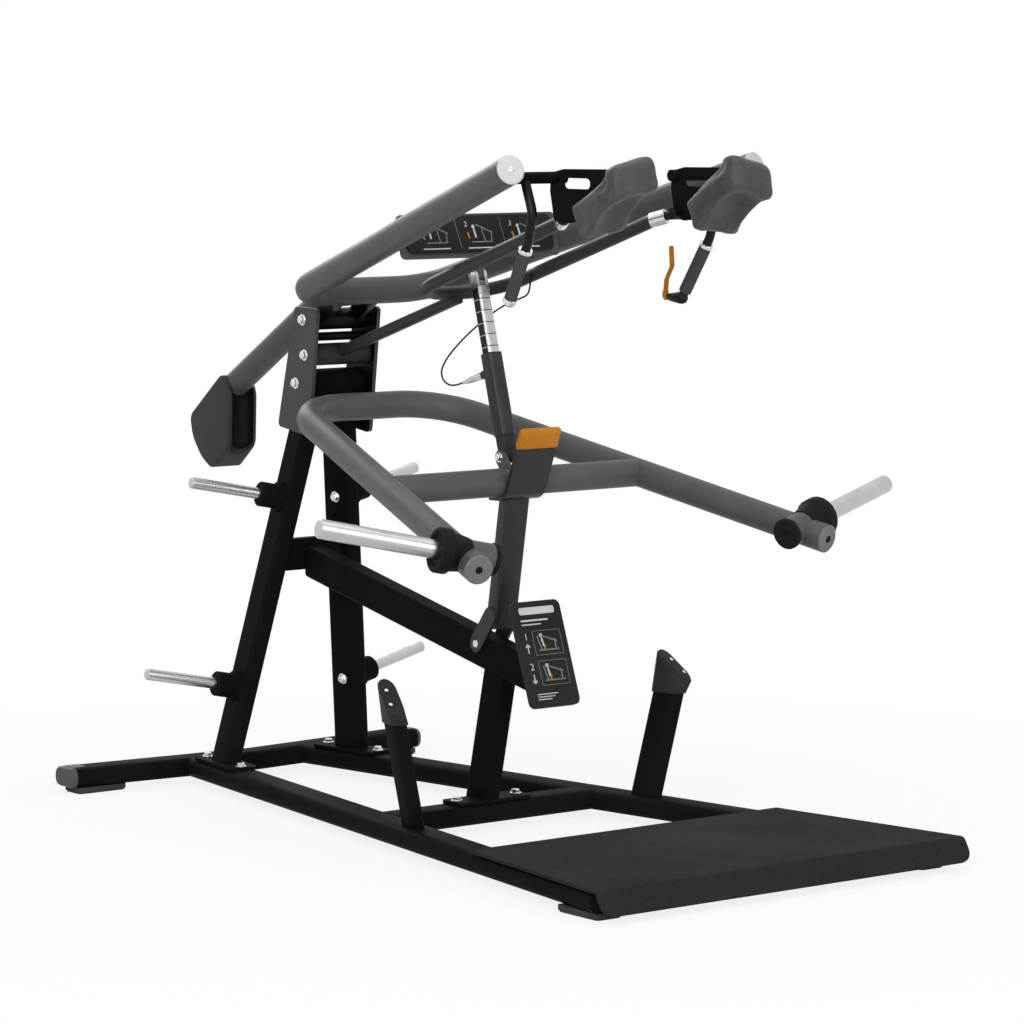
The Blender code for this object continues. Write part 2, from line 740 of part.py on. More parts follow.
def brace_solid():
    """Diagonal brace from the crossbar to the placard."""
    back, facing, _ = brace_plane()
    rear, along, across = brace_line()
    rear_loop = []
    front_loop = []
    for a, b in rectangle(BRACE_WIDTH, BRACE_HEIGHT, LEG_CORNER):
        line = rear + across * b
        to_rear = (rear.x - line.x) / along.x
        to_front = (back - facing * SEAT_GAP - line).dot(facing) / along.dot(facing)
        rear_loop.append(yz(a, line + along * to_rear))
        front_loop.append(yz(a, line + along * to_front))
    return loft([rear_loop, front_loop])


def add_brace_and_post(machine):
    """Diagonal brace, front post on its foot plate, and the placard at the brace's end."""
    machine.add("diagonal_brace", brace_solid(), "black_paint")
    plate_outline = rectangle(FOOT_PLATE_LENGTH, FOOT_PLATE_WIDTH, 0.016)
    place = lambda a, b: Vector((a, MID_TUBE_Y + b, PLATE_BASE))
    foot_plate = prism(plate_outline, place, Vector((0, 0, FOOT_PLATE_THICKNESS)))
    base_z = PLATE_BASE + FOOT_PLATE_THICKNESS / 2
    rear, along, across = brace_line()
    underside = rear - across * (BRACE_HEIGHT / 2 + SEAT_GAP)
    rise = Vector((-POST_LEAN, 1.0))
    lower_loop = []
    upper_loop = []
    for a, b in rectangle(POST_WIDTH, POST_DEPTH, LEG_CORNER):
        start = Vector((MID_TUBE_Y + POST_SETBACK + b, base_z))
        height = (underside - start).dot(across) / rise.dot(across)
        lower_loop.append(yz(a, start))
        upper_loop.append(yz(a, start + rise * height))
    post = loft([lower_loop, upper_loop])
    machine.add("front_post", fuse(post, foot_plate), "black_paint")
    back, facing, upward = brace_plane()
    outline = rectangle(*BRACE_PLACARD_SIZE, 0.018)
    draw = lambda a, b: yz(a, back + upward * b)
    machine.add("brace_placard", prism(outline, draw, yz(0, facing * BRACE_PLACARD_THICKNESS)), "placard_print")


def add_bump_stops(machine):
    """Posts leaning outwards, with wedge caps cut to the lowered load arm."""
    arm_run = (LOAD_END - LOAD_CORNER).normalized()
    for side, sign in SIDES:
        along = Vector((sign * arm_run.x, arm_run.y, 0)).normalized()
        across = Vector((-along.y, along.x, 0))
        top = mirrored(STOP_TOP, sign)
        base = Vector((sign * rail_x(STOP_Y), STOP_Y, PLATE_BASE))

        def ring(height, rim, slope=0.0):
            centre = base.lerp(top, (height - base.z) / (top.z - base.z))
            return [centre + along * a + across * b - Vector((0, 0, slope * a))
                    for a, b in stadium(STOP_LENGTH + 2 * rim, STOP_WIDTH + 2 * rim)]

        seat = top.z - STOP_CAP_HEIGHT
        machine.add("bump_post_" + side, loft([ring(base.z, 0), ring(seat, 0)]), "black_paint")
        cap = [ring(seat + SEAT_GAP, STOP_CAP_RIM), ring(top.z - 0.006, STOP_CAP_RIM, STOP_SLOPE),
               ring(top.z, 0, STOP_SLOPE)]
        machine.add("bump_cap_" + side, loft(cap), "rubber")


# Lever

def load_path(overrun=0.0):
    """Centre line of the load arm's wishbone, run on past its open ends to make seats."""
    end = LOAD_END + (LOAD_END - LOAD_CORNER).normalized() * overrun
    corners = [mirrored(end, -1), mirrored(LOAD_CORNER, -1), LOAD_CORNER.copy(), end]
    return bent_path(corners, LOAD_BEND)


def load_bar_point():
    """Where the load arm's crossbar meets the right tube."""
    return point_at_y(LOAD_END, LOAD_CORNER, LOAD_BAR_Y)


def arm_cap(end, corner, sign):
    """Domed plug closing the open end of a wishbone tube."""
    axis = mirrored(end - corner, sign).normalized()
    profile = ((SEAT_GAP, TUBE_RADIUS), (CAP_THICKNESS * 0.6, TUBE_RADIUS), (CAP_THICKNESS, TUBE_RADIUS - 0.004))
    return turned(mirrored(end, sign), axis, profile, TUBE_SIDES)


def horn_line(sign):
    """Middle of a plate horn's cross boss on the load arm, and the horn's direction."""
    root = point_at_y(LOAD_END, LOAD_CORNER, HORN_ARM_Y) + Vector((0, 0, HORN_RISE))
    return mirrored(root, sign), mirrored(HORN_AXIS, sign)


def link_plate(start, end, radius, x_from, x_to):
    """Side-view link with round ends between two (Y, Z) points."""
    run = end - start
    middle = (start + end) / 2
    along = run.normalized()
    across = Vector((-along.y, along.x))
    outline = [middle + along * a + across * b for a, b in stadium(run.length + 2 * radius, 2 * radius)]
    return side_plate(outline, x_from, x_to)


def add_lever(machine):
    """Side plates, load arm, its crossbar with the strut clevis, horns and caps."""
    arm = tube(load_path(), TUBE_RADIUS)
    bar = Vector((LOAD_CORNER.y, LOAD_CORNER.z))
    lugs = [link_plate(bar, LOAD_LUG_END, LOAD_LUG_RADIUS, sign * (HUB_HALF - LOAD_LUG_THICKNESS), sign * HUB_HALF)
            for sign in (-1, 1)]
    bosses = []
    for sign in (-1, 1):
        root, axis = horn_line(sign)
        bosses.append(rod(root - axis * HORN_BOSS_IN, root, HORN_BOSS_RADIUS, TUBE_SIDES))
    machine.add("load_arm", fuse(arm, *lugs, *bosses), "grey_paint", "lever")
    for side, sign in SIDES:
        outline = rounded(PLATE_OUTLINE, PLATE_CORNER)
        plate = side_plate(outline, sign * PLATE_INNER_X, sign * (PLATE_INNER_X + PLATE_THICKNESS))
        if side == "left":
            weld = yz(-PLATE_INNER_X - PLATE_THICKNESS / 2, SPACER_AT)
            plate = fuse(plate, rod(weld, yz(HUB_HALF, SPACER_AT), SPACER_RADIUS))
        machine.add("side_plate_" + side, plate, "plate_paint", "lever")
        machine.add("load_arm_cap_" + side, arm_cap(LOAD_END, LOAD_CORNER, sign), "grey_plastic", "lever")
        add_load_horn(machine, side, sign)
    meet = load_bar_point()
    bar = rod(mirrored(meet, -1), meet, TUBE_RADIUS, TUBE_SIDES)
    bar = cut(bar, tube(load_path(), TUBE_RADIUS + SEAT_GAP))
    ears = []
    for sign in (-1, 1):
        seat = Vector((meet.y, meet.z + TUBE_RADIUS * 0.5))
        ears.append(link_plate(seat, STRUT_FOOT, 0.020, sign * EAR_INNER_X, sign * (EAR_INNER_X + EAR_THICKNESS)))
    machine.add("load_crossbar", fuse(bar, *ears), "grey_paint", "lever")


def add_load_horn(machine, side, sign):
    """Plate horn and the black saddle that seats it on the load arm."""
    root, axis = horn_line(sign)
    collar = ((SEAT_GAP, HORN_COLLAR_RADIUS - 0.004), (0.020, HORN_COLLAR_RADIUS),
              (HORN_COLLAR_OUT - 0.042, HORN_COLLAR_RADIUS + 0.003), (HORN_COLLAR_OUT - 0.030, HORN_FLANGE_RADIUS),
              (HORN_COLLAR_OUT - 0.004, HORN_FLANGE_RADIUS), (HORN_COLLAR_OUT, HORN_FLANGE_RADIUS - 0.004),
              (HORN_COLLAR_OUT, HORN_FLANGE_RADIUS - 0.012),
              (HORN_COLLAR_OUT - HORN_RECESS, HORN_FLANGE_RADIUS - 0.016))
    seat = tube(load_path(5 * CAP_THICKNESS), TUBE_RADIUS + SEAT_GAP)
    saddle = cut(turned(root, axis, collar, TUBE_SIDES), seat)
    machine.add("horn_collar_" + side, saddle, "black_paint", "lever")
    start = HORN_COLLAR_OUT - HORN_RECESS + SEAT_GAP
    horn = ((start, HORN_RADIUS), (start + HORN_LENGTH - 0.004, HORN_RADIUS),
            (start + HORN_LENGTH, HORN_RADIUS - 0.004))
    machine.add("load_horn_" + side, turned(root, axis, horn, TUBE_SIDES), "bright_steel", "lever")


# Pad arm

def pad_arm_path():
    """Centre line of the pad arm's wishbone."""
    corners = [mirrored(PAD_ARM_END, -1), mirrored(PAD_ARM_CORNER, -1), PAD_ARM_CORNER.copy(), PAD_ARM_END.copy()]
    return bent_path(corners, PAD_ARM_BEND)


def pad_pivot_x():
    """Half-spacing of the pad arm's tubes at the shoulder carriages' pivot."""
    return point_at_y(PAD_ARM_END, PAD_ARM_CORNER, PAD_PIVOT.x).x


def pad_arm_hub(radius):
    """Round hub on which the pad arm turns, between the side plates."""
    return rod(yz(-HUB_HALF, ARM_PIVOT), yz(HUB_HALF, ARM_PIVOT), radius, TUBE_SIDES)


def add_pad_arm(machine):
    """Wishbone with its hub, end caps, counterweight, cross plate and placard."""
    arm = tube(pad_arm_path(), TUBE_RADIUS)
    hub = pad_arm_hub(ARM_HUB_RADIUS)
    bar = Vector((PAD_ARM_CORNER.y, PAD_ARM_CORNER.z))
    lugs = [link_plate(ARM_PIVOT, bar, 0.024, sign * 0.050, sign * 0.066) for sign in (-1, 1)]
    reach = pad_pivot_x()
    bosses = [rod(yz(sign * reach, PAD_PIVOT), yz(sign * (reach - PIVOT_BOSS_FACE), PAD_PIVOT), PIVOT_BOSS_RADIUS)
              for sign in (-1, 1)]
    machine.add("upper_arm", fuse(arm, hub, *lugs, *bosses), "grey_paint", "upper_arm")
    for side, sign in SIDES:
        machine.add("upper_arm_cap_" + side, arm_cap(PAD_ARM_END, PAD_ARM_CORNER, sign), "pale_plastic", "upper_arm")
    start = yz(0, bar)
    stem = tube(bent_path([start, yz(0, COUNTER_KNEE), yz(0, COUNTER_END)], 0.150), TUBE_RADIUS)
    seats = (tube(pad_arm_path(), TUBE_RADIUS + SEAT_GAP), pad_arm_hub(ARM_HUB_RADIUS + SEAT_GAP))
    machine.add("counterweight_tube", cut(stem, *seats), "grey_paint", "upper_arm")
    outline = rounded(COUNTER_OUTLINE, COUNTER_CORNER)
    block = side_plate(outline, -COUNTER_BLOCK_WIDTH / 2, COUNTER_BLOCK_WIDTH / 2)
    block = bevelled(block, 0.012)
    seat = tube([yz(0, COUNTER_KNEE), yz(0, COUNTER_END + (COUNTER_END - COUNTER_KNEE).normalized() * SEAT_GAP)],
                TUBE_RADIUS + SEAT_GAP)
    machine.add("counterweight", cut(block, seat), "black_paint", "upper_arm")
    add_cross_plate(machine)


def bevelled(mesh, width):
    """Solid with its sharp edges rounded over."""
    bm = bmesh.new()
    bm.from_mesh(mesh)
    sharp = [edge for edge in bm.edges if edge.calc_face_angle(0) > math.radians(60)]
    bmesh.ops.bevel(bm, geom=sharp, offset=width, segments=3, profile=0.5, affect="EDGES")
    bpy.data.meshes.remove(mesh)
    return mesh_from(bm)


def add_cross_plate(machine):
    """Plate between the pad arm's tubes, with the strut's tab and the user's placard."""
    low, high = CROSS_PLATE_Z
    middle = (low + high) / 2
    half = point_at_y(PAD_ARM_END, PAD_ARM_CORNER, CROSS_PLATE_Y).x - TUBE_RADIUS * 0.9
    lean = lambda z: CROSS_PLATE_Y + CROSS_PLATE_LEAN * (z - middle)
    outline = rectangle(2 * half, high - low, 0.014)
    place = lambda a, b: Vector((a, lean(middle + b), middle + b))
    plate = prism(outline, place, Vector((0, CROSS_PLATE_THICKNESS, 0)))
    plate = cut(plate, tube(pad_arm_path(), TUBE_RADIUS + SEAT_GAP))
    tab_top = Vector((lean(low + 2 * TAB_RADIUS) + TAB_RADIUS, low + TAB_RADIUS))
    tab = link_plate(tab_top, STRUT_HEAD, TAB_RADIUS, -TAB_HALF, TAB_HALF)
    machine.add("cross_plate", fuse(plate, tab), "grey_paint", "upper_arm")
    outline = rectangle(2 * PLACARD_HALF, PLACARD_HEIGHT, 0.020)
    front = lambda a, b: Vector((a, lean(middle + 0.005 + b) - SEAT_GAP, middle + 0.005 + b))
    placard = prism(outline, front, Vector((0, -CROSS_PLATE_THICKNESS, 0)))
    machine.add("arm_placard", cut(placard, tube(pad_arm_path(), TUBE_RADIUS + SEAT_GAP)), "placard_print", "upper_arm")


# Parallel link

def fork_tip_z():
    """Height of the fork's tips, on the line of the link's two pivots."""
    reach = FORK_PIVOT - LINK_PIVOT
    return FORK_PIVOT.y + reach.y / reach.x * (FORK_TIP.y - FORK_PIVOT.x)


def add_link(machine):
    """Link bar on its hub, round fork, and the rod ends under the shoulder carriages."""
    tip = Vector((FORK_TIP.x, FORK_TIP.y, fork_tip_z()))
    corner = Vector((FORK_HALF, FORK_APEX.x, FORK_APEX.y))
    path = bent_path([mirrored(tip, -1), mirrored(corner, -1), corner, tip], FORK_HALF * 0.86, 10)
    fork = tube(path, FORK_RADIUS, SMALL_SIDES)
    hub = rod(yz(-HUB_HALF, LINK_PIVOT), yz(HUB_HALF, LINK_PIVOT), LINK_HUB_RADIUS, TUBE_SIDES)
    along = (LINK_BAR_END - LINK_PIVOT).normalized()
    across = Vector((-along.y, along.x))
    outline = rectangle(LINK_BAR_WIDTH, LINK_BAR_HEIGHT, 0.010)
    place = lambda a, b: yz(a, LINK_PIVOT + across * b)
    bar = prism(outline, place, yz(0, LINK_BAR_END - LINK_PIVOT))
    machine.add("link_fork", fuse(fork, bar, hub), "grey_paint", "link")
    for side, sign in SIDES:
        end = mirrored(tip, sign)
        eye = yz(sign * ROD_END_X, FORK_PIVOT)
        leg = mirrored(tip - corner, sign).normalized()
        ferrule = ((SEAT_GAP, FERRULE_RADIUS), (0.020, FERRULE_RADIUS), (0.024, FERRULE_RADIUS - 0.008))
        ring = turned(end, leg, ferrule, SMALL_SIDES)
        stub = rod(end + leg * 0.012, eye, 0.010)
        inner = BRACKET_X - BRACKET_THICKNESS / 2 - RUN_GAP
        boss = rod(yz(sign * (ROD_END_X - 0.013), FORK_PIVOT), yz(sign * inner, FORK_PIVOT), ROD_END_RADIUS)
        machine.add("rod_end_" + side, fuse(ring, stub, boss), "bright_steel", "link")


# Shoulder carriages

def bracket_outline():
    """Side-view outline of a carriage bracket, following the pad's back."""
    gap = Vector((SEAT_GAP, SEAT_GAP))
    corners = [PAD_PIVOT + Vector((0.024, -0.034)), PAD_PIVOT + Vector((0.020, 0.012)),
               PAD_PIVOT + Vector((-0.030, 0.022)), PAD_REAR_TOP + Vector((0.006, 0.005)),
               PAD_REAR_TOP + gap, PAD_REAR_MID + gap * 2, PAD_REAR_LOW + Vector((0.014, 0.014)),
               FORK_PIVOT + Vector((-0.020, -0.018)), FORK_PIVOT + Vector((0.016, -0.012))]
    return rounded(corners, [0.014, 0.012, 0.020, 0.002, 0.002, 0.001, 0.004, 0.010, 0.010], 3)


def add_carriage(machine, side, sign):
    """Bracket on its pivot tube, shoulder pad, bent handle and rubber grip."""
    body = "carriage_" + side
    half = BRACKET_THICKNESS / 2
    plate = side_plate(bracket_outline(), sign * (BRACKET_X - half), sign * (BRACKET_X + half))
    slot = [BRACKET_SLOT_AT + point for point in stadium(*BRACKET_SLOT)]
    plate = cut(plate, side_plate(slot, sign * (BRACKET_X - 2 * half), sign * (BRACKET_X + 2 * half)))
    outer_x = pad_pivot_x() - PIVOT_BOSS_FACE - SEAT_GAP
    pivot_tube = rod(yz(sign * PIVOT_TUBE_INNER_X, PAD_PIVOT), yz(sign * outer_x, PAD_PIVOT), PIVOT_TUBE_RADIUS)
    machine.add("carriage_bracket_" + side, fuse(plate, pivot_tube), "black_paint", body)
    machine.add("shoulder_pad_" + side, shoulder_pad(sign), "pad_vinyl", body)
    top = Vector((HANDLE_X, PAD_PIVOT.x, PAD_PIVOT.y))
    knee_path = bent_path([top, HANDLE_KNEE, HANDLE_COLLAR, HANDLE_TIP], 0.060, 4)
    handle = tube([mirrored(point, sign) for point in knee_path], HANDLE_RADIUS, SMALL_SIDES)
    seat = rod(yz(sign * 0.25, PAD_PIVOT), yz(sign * 0.36, PAD_PIVOT), PIVOT_TUBE_RADIUS + SEAT_GAP)
    handle = cut(handle, seat)
    down = (HANDLE_TIP - HANDLE_COLLAR).normalized()
    if side == "right":
        heel = Vector((HANDLE_TIP.x, HANDLE_TIP.y, HANDLE_TIP.z)) - down * 0.006
        boss = yz(HANDLE_TIP.x, LEVER_PIVOT)
        reach = Vector((LEVER_WIDTH, 0, 0))
        handle = fuse(handle, rod(heel, boss, LEVER_BOSS))
        handle = cut(handle, rod(boss - reach, boss + reach, LEVER_BOSS + SEAT_GAP))
    machine.add("handle_" + side, handle, "black_paint", body)
    grip_start = mirrored(HANDLE_COLLAR + down * 0.028, sign)
    grip_end = mirrored(HANDLE_TIP - down * 0.020, sign)
    grip = rod(grip_start, grip_end, GRIP_RADIUS)
    bore = mirrored(down, sign) * 0.01
    bore_radius = (HANDLE_RADIUS + SEAT_GAP) / math.cos(math.pi / SMALL_SIDES)
    grip = cut(grip, rod(grip_start - bore, grip_end + bore, bore_radius))
    machine.add("grip_" + side, grip, "rubber", body)


def shoulder_pad(sign):
    """Moulded pad: a slanted back, a nose over the shoulder and a hollow front."""
    front = [(-0.655, 1.738), (-0.643, 1.722), (-0.602, 1.712), (-0.570, 1.692),
             (-0.530, 1.652), (-0.507, 1.618)]
    corners = [PAD_REAR_LOW, PAD_REAR_MID, PAD_REAR_TOP, (-0.592, 1.812), (-0.628, 1.819), (-0.645, 1.802)]
    corners += front + [(-0.486, 1.614)]
    radii = [0.012, 0.010, 0.014, 0.010, 0.010, 0.012, 0.008, 0.006, 0.020, 0.030, 0.030, 0.008, 0.008]
    outline = rounded(corners, radii, 2)
    centre = sum(outline, Vector((0, 0))) / len(outline)
    width = PAD_OUTER_X - PAD_INNER_X
    middle = (PAD_OUTER_X + PAD_INNER_X) / 2
    loops = []
    for step in range(11):
        share = -1 + step / 5
        crown = 1 - PAD_EDGE * 4 * max(0.0, abs(share) - 0.55) ** 2 / 0.45 ** 2
        loop = []
        for point in outline:
            shaped = centre + (point - centre) * crown
            hollow = max(0.0, 1 - (share / 0.7) ** 2) * PAD_POCKET
            reach = max(0.0, min(1.0, (PAD_REAR_MID.x - 0.050 - point.x) / 0.08))
            under = max(0.0, min(1.0, (1.735 - point.y) / 0.030))
            shaped = shaped + Vector((0.55, 0.83)) * hollow * reach * under
            loop.append(yz(sign * (middle + share * width / 2), shaped))
        loops.append(loop)
    return loft(loops)


def add_release_lever(machine):
    """Orange squeeze lever hinged on the right handle's heel."""
    shape = ((0.002, 0.0), (-0.004, 0.35), (-0.026, 0.60), (-0.022, 1.0))
    spine = [LEVER_PIVOT + Vector((lean, share * LEVER_HEIGHT)) for lean, share in shape]
    back = [point + Vector((0.009, 0.0)) for point in reversed(spine)]
    half = LEVER_WIDTH / 2
    near = HANDLE_TIP.x - half
    far = HANDLE_TIP.x + half
    blade = side_plate(rounded(spine + back, 0.0025, 3), near, far)
    blade = fuse(blade, rod(yz(near + 0.001, LEVER_PIVOT), yz(far - 0.001, LEVER_PIVOT), LEVER_BOSS))
    machine.add("release_lever", blade, "orange_plastic", "release")


# Height strut

def on_strut(distance, offset=0.0):
    """(Y, Z) point along the strut from its lower pin, offset to the rear."""
    rearward = Vector((STRUT_AXIS.y, -STRUT_AXIS.x))
    return STRUT_FOOT + STRUT_AXIS * distance + rearward * offset


def strut_prism(size, corner, start, end):
    """Square tube section along the strut."""
    outline = rectangle(size, size, corner)
    place = lambda a, b: yz(a, on_strut(start, b))
    return prism(outline, place, yz(0, STRUT_AXIS * (end - start)))


def add_strut(machine):
    """Sleeve with its lower eye and cable barrel, and the sliding rod with its head."""
    sleeve = strut_prism(SLEEVE_SIZE, 0.010, SLEEVE_START, SLEEVE_TOP)
    bore = strut_prism(ROD_SIZE + 2 * SLIDE_GAP, 0.008, SLEEVE_START + 0.014, SLEEVE_TOP + 0.010)
    eye = link_plate(STRUT_FOOT, on_strut(SLEEVE_START + 0.004), 0.017, -EAR_INNER_X + RUN_GAP, EAR_INNER_X - RUN_GAP)
    face = SLEEVE_SIZE / 2
    rearward = yz(0, Vector((STRUT_AXIS.y, -STRUT_AXIS.x)))
    profile = ((-0.002, BARREL_RADIUS * 1.5), (0.020, BARREL_RADIUS * 1.5), (0.024, BARREL_RADIUS),
               (0.086, BARREL_RADIUS), (0.090, BARREL_RADIUS * 0.6), (BARREL_LENGTH, BARREL_RADIUS * 0.6))
    barrel = turned(yz(0, on_strut(BARREL_AT, face)), rearward, profile)
    machine.add("strut_sleeve", fuse(cut(sleeve, bore), eye, barrel), "black_paint", "sleeve")
    neck = STRUT_LENGTH - 0.034
    stem = strut_prism(ROD_SIZE, 0.008, ROD_FOOT, neck)
    inner = TAB_HALF + RUN_GAP
    ears = [link_plate(on_strut(neck - 0.012), STRUT_HEAD, 0.015, sign * inner, sign * ROD_SIZE / 2) for sign in (-1, 1)]
    machine.add("strut_rod", fuse(stem, *ears), "bright_steel", "rod")
    gland = yz(0, on_strut(BARREL_AT, face)) + rearward * (BARREL_LENGTH + SEAT_GAP)
    route = [gland, gland + rearward * 0.025] + [Vector(point) for point in CABLE_ROUTE]
    cable = tube(smooth_path(route, 2.5 * CABLE_DIAMETER), CABLE_DIAMETER / 2, 8)
    machine.add("release_cable", cable, "rubber", "sleeve")


# Rack hook

def add_hook(machine):
    """Swinging hook that holds up the load arm's crossbar, and its orange finger cap."""
    bar = load_bar_point()
    centre = Vector((bar.y, bar.z))
    inner = TUBE_RADIUS + HOOK_REST_GAP
    rise = Vector((-math.sin(HOOK_LEAN), math.cos(HOOK_LEAN)))
    inside = []
    outside = []
    for radius, line in ((inner, inside), (inner + HOOK_SHEET, outside)):
        tangent = centre - Vector((math.cos(HOOK_LEAN), math.sin(HOOK_LEAN))) * radius
        line.append(tangent + rise * HOOK_LIP_LENGTH)
        for step in range(8):
            angle = math.pi + HOOK_LEAN + (math.pi / 2 - HOOK_LEAN) * step / 7
            line.append(centre + Vector((math.cos(angle), math.sin(angle))) * radius)
        line.append(centre + Vector((HOOK_REAR_RUN, -radius)))
    saddle = side_plate(inside + outside[::-1], -HOOK_HALF, HOOK_HALF)
    floor = centre.y - inner - HOOK_SHEET * 0.5
    top = Vector((centre.x + 0.008, floor))
    low = Vector((HOOK_PIVOT.x - 0.056, HOOK_PIVOT.y + 0.046))
    along = top - low
    outline = rectangle(HOOK_POST_WIDTH, HOOK_POST_DEPTH, 0.010)
    post = prism(outline, lambda a, b: Vector((a, low.x + b, low.y)), yz(0, along))
    inner_x = BRACE_WIDTH / 2 + RUN_GAP
    ears = []
    for sign in (-1, 1):
        ears.append(link_plate(HOOK_PIVOT, low + along * 0.10, 0.024, sign * inner_x,
                               sign * (inner_x + HOOK_EAR_THICKNESS)))
    machine.add("rack_hook", fuse(saddle, post, *ears), "black_paint", "hook")
    seat = centre - Vector((math.cos(HOOK_LEAN), math.sin(HOOK_LEAN))) * (inner + HOOK_SHEET / 2)
    seat = seat + rise * (HOOK_LIP_LENGTH + SEAT_GAP)
    across = Vector((rise.y, -rise.x))
    half = HOOK_CAP_THICKNESS / 2
    corners = [(-half, 0), (half, 0), (half, HOOK_CAP_LENGTH), (-half, HOOK_CAP_LENGTH)]
    outline = [seat + across * a + rise * b for a, b in rounded(corners, [0.004, 0.004, 0.009, 0.009], 3)]
    cap = side_plate(outline, -HOOK_HALF - 0.003, HOOK_HALF + 0.003)
    machine.add("hook_cap", bevelled(cap, 0.004), "orange_plastic", "hook")


def main():
    """Build the whole machine in an empty scene."""
    for thing in list(bpy.data.objects):
        bpy.data.objects.remove(thing)
    machine = Machine()
    add_floor_frame(machine)
    add_deck(machine)
    add_tower(machine)
    add_brace_and_post(machine)
    add_bump_stops(machine)
    add_lever(machine)
    add_pad_arm(machine)
    add_link(machine)
    for side, sign in SIDES:
        add_carriage(machine, side, sign)
    add_release_lever(machine)
    add_strut(machine)
    add_hook(machine)
    machine.centre()


main()
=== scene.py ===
"""Looks of a plate-loaded lever squat machine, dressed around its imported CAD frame.

Metres, +Z up.  The user stands at -Y and faces the tower at +Y.  Stations along Y are
written from the same datum as the CAD source and are moved by STATION_SHIFT.
"""

import json
import logging
import math
from contextlib import contextmanager
from dataclasses import dataclass
from enum import Enum
from typing import ClassVar, Iterator, Sequence

import bmesh
import bpy
from mathutils import Matrix, Vector
from mathutils.bvhtree import BVHTree
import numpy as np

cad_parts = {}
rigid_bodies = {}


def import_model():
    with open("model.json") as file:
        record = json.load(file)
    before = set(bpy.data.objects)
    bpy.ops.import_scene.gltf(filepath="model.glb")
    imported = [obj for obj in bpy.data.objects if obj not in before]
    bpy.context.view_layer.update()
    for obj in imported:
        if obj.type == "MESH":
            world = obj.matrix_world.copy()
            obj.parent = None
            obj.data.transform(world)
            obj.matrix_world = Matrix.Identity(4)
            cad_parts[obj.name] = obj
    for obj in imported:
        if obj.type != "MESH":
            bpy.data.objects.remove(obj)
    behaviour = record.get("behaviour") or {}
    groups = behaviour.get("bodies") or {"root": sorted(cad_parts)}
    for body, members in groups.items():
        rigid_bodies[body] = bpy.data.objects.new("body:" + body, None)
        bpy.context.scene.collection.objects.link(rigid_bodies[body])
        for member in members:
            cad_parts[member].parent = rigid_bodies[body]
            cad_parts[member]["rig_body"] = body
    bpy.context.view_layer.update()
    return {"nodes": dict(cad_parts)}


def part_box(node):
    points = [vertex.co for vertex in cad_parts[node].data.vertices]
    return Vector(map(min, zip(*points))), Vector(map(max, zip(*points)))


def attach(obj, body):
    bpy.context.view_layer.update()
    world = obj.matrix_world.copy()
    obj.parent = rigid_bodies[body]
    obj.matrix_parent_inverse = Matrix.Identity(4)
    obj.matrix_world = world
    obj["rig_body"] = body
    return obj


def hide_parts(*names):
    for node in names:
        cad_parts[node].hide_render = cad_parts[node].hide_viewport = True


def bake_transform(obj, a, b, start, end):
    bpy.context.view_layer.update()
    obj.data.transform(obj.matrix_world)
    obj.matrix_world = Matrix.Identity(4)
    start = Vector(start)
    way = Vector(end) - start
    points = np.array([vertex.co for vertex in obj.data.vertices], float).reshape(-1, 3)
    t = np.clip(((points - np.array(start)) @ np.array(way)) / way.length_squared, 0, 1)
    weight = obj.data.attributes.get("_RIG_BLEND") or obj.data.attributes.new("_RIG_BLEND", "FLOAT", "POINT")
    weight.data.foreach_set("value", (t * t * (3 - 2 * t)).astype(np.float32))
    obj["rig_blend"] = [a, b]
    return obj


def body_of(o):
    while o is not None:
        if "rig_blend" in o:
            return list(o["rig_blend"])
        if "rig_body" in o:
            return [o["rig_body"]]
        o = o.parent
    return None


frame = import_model()
DECK_REAR_STATION = -0.380
STATION_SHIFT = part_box("deck")[1].y - DECK_REAR_STATION
PIVOT_FRONT_STATION = 0.835

log = logging.getLogger("squat_machine")

Colour = tuple[float, float, float]
Point = tuple[float, float, float]
Profile = Sequence[tuple[float, float]]
Place = tuple[Vector, Vector]
Pieces = list[bpy.types.Object]

# Near-black painted shade, laid where shade falls between the lever's side plates and inside the weight's groove.
PAINTED_SHADE: Colour = (14, 13, 13)


class Side(Enum):
    """Left and right of a user who faces the tower."""

    LEFT = -1
    RIGHT = 1

    @property
    def label(self) -> str:
        """Name of the side as the CAD nodes write it."""
        return self.name.lower()


class Body(str, Enum):
    """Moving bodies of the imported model."""

    BASE = "base"
    LEVER = "lever"
    PAD_ARM = "upper_arm"
    LINK = "link"
    CARRIAGE_LEFT = "carriage_left"
    CARRIAGE_RIGHT = "carriage_right"
    RELEASE = "release"
    SLEEVE = "sleeve"
    ROD = "rod"
    HOOK = "hook"


def at(x: float, y: float, z: float) -> Vector:
    """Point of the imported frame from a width, a CAD station and a height."""
    return Vector((x, y + STATION_SHIFT, z))


def carriage(side: Side) -> Body:
    """Body of the shoulder carriage on a side."""
    return Body("carriage_" + side.label)


def on_side(point: Vector, side: Side) -> Vector:
    """Point or direction given for the right side, carried to a side."""
    return Vector((point.x * side.value, point.y, point.z))


def linear(colour: Colour) -> tuple[float, float, float, float]:
    """Scene-linear colour of an sRGB colour written from 0 to 255.

    Args:
        colour: Red, green and blue.

    Returns:
        Red, green, blue and alpha.
    """
    def channel(value: float) -> float:
        """Linear value of one channel."""
        share = value / 255
        return share / 12.92 if share <= 0.04045 else ((share + 0.055) / 1.055) ** 2.4
    return (*(channel(value) for value in colour), 1.0)


# Modelling by hand, through Blender's own operators

def clear_selection() -> None:
    """Leave edit mode and deselect everything."""
    if bpy.context.mode != "OBJECT":
        bpy.ops.object.mode_set(mode="OBJECT")
    bpy.ops.object.select_all(action="DESELECT")


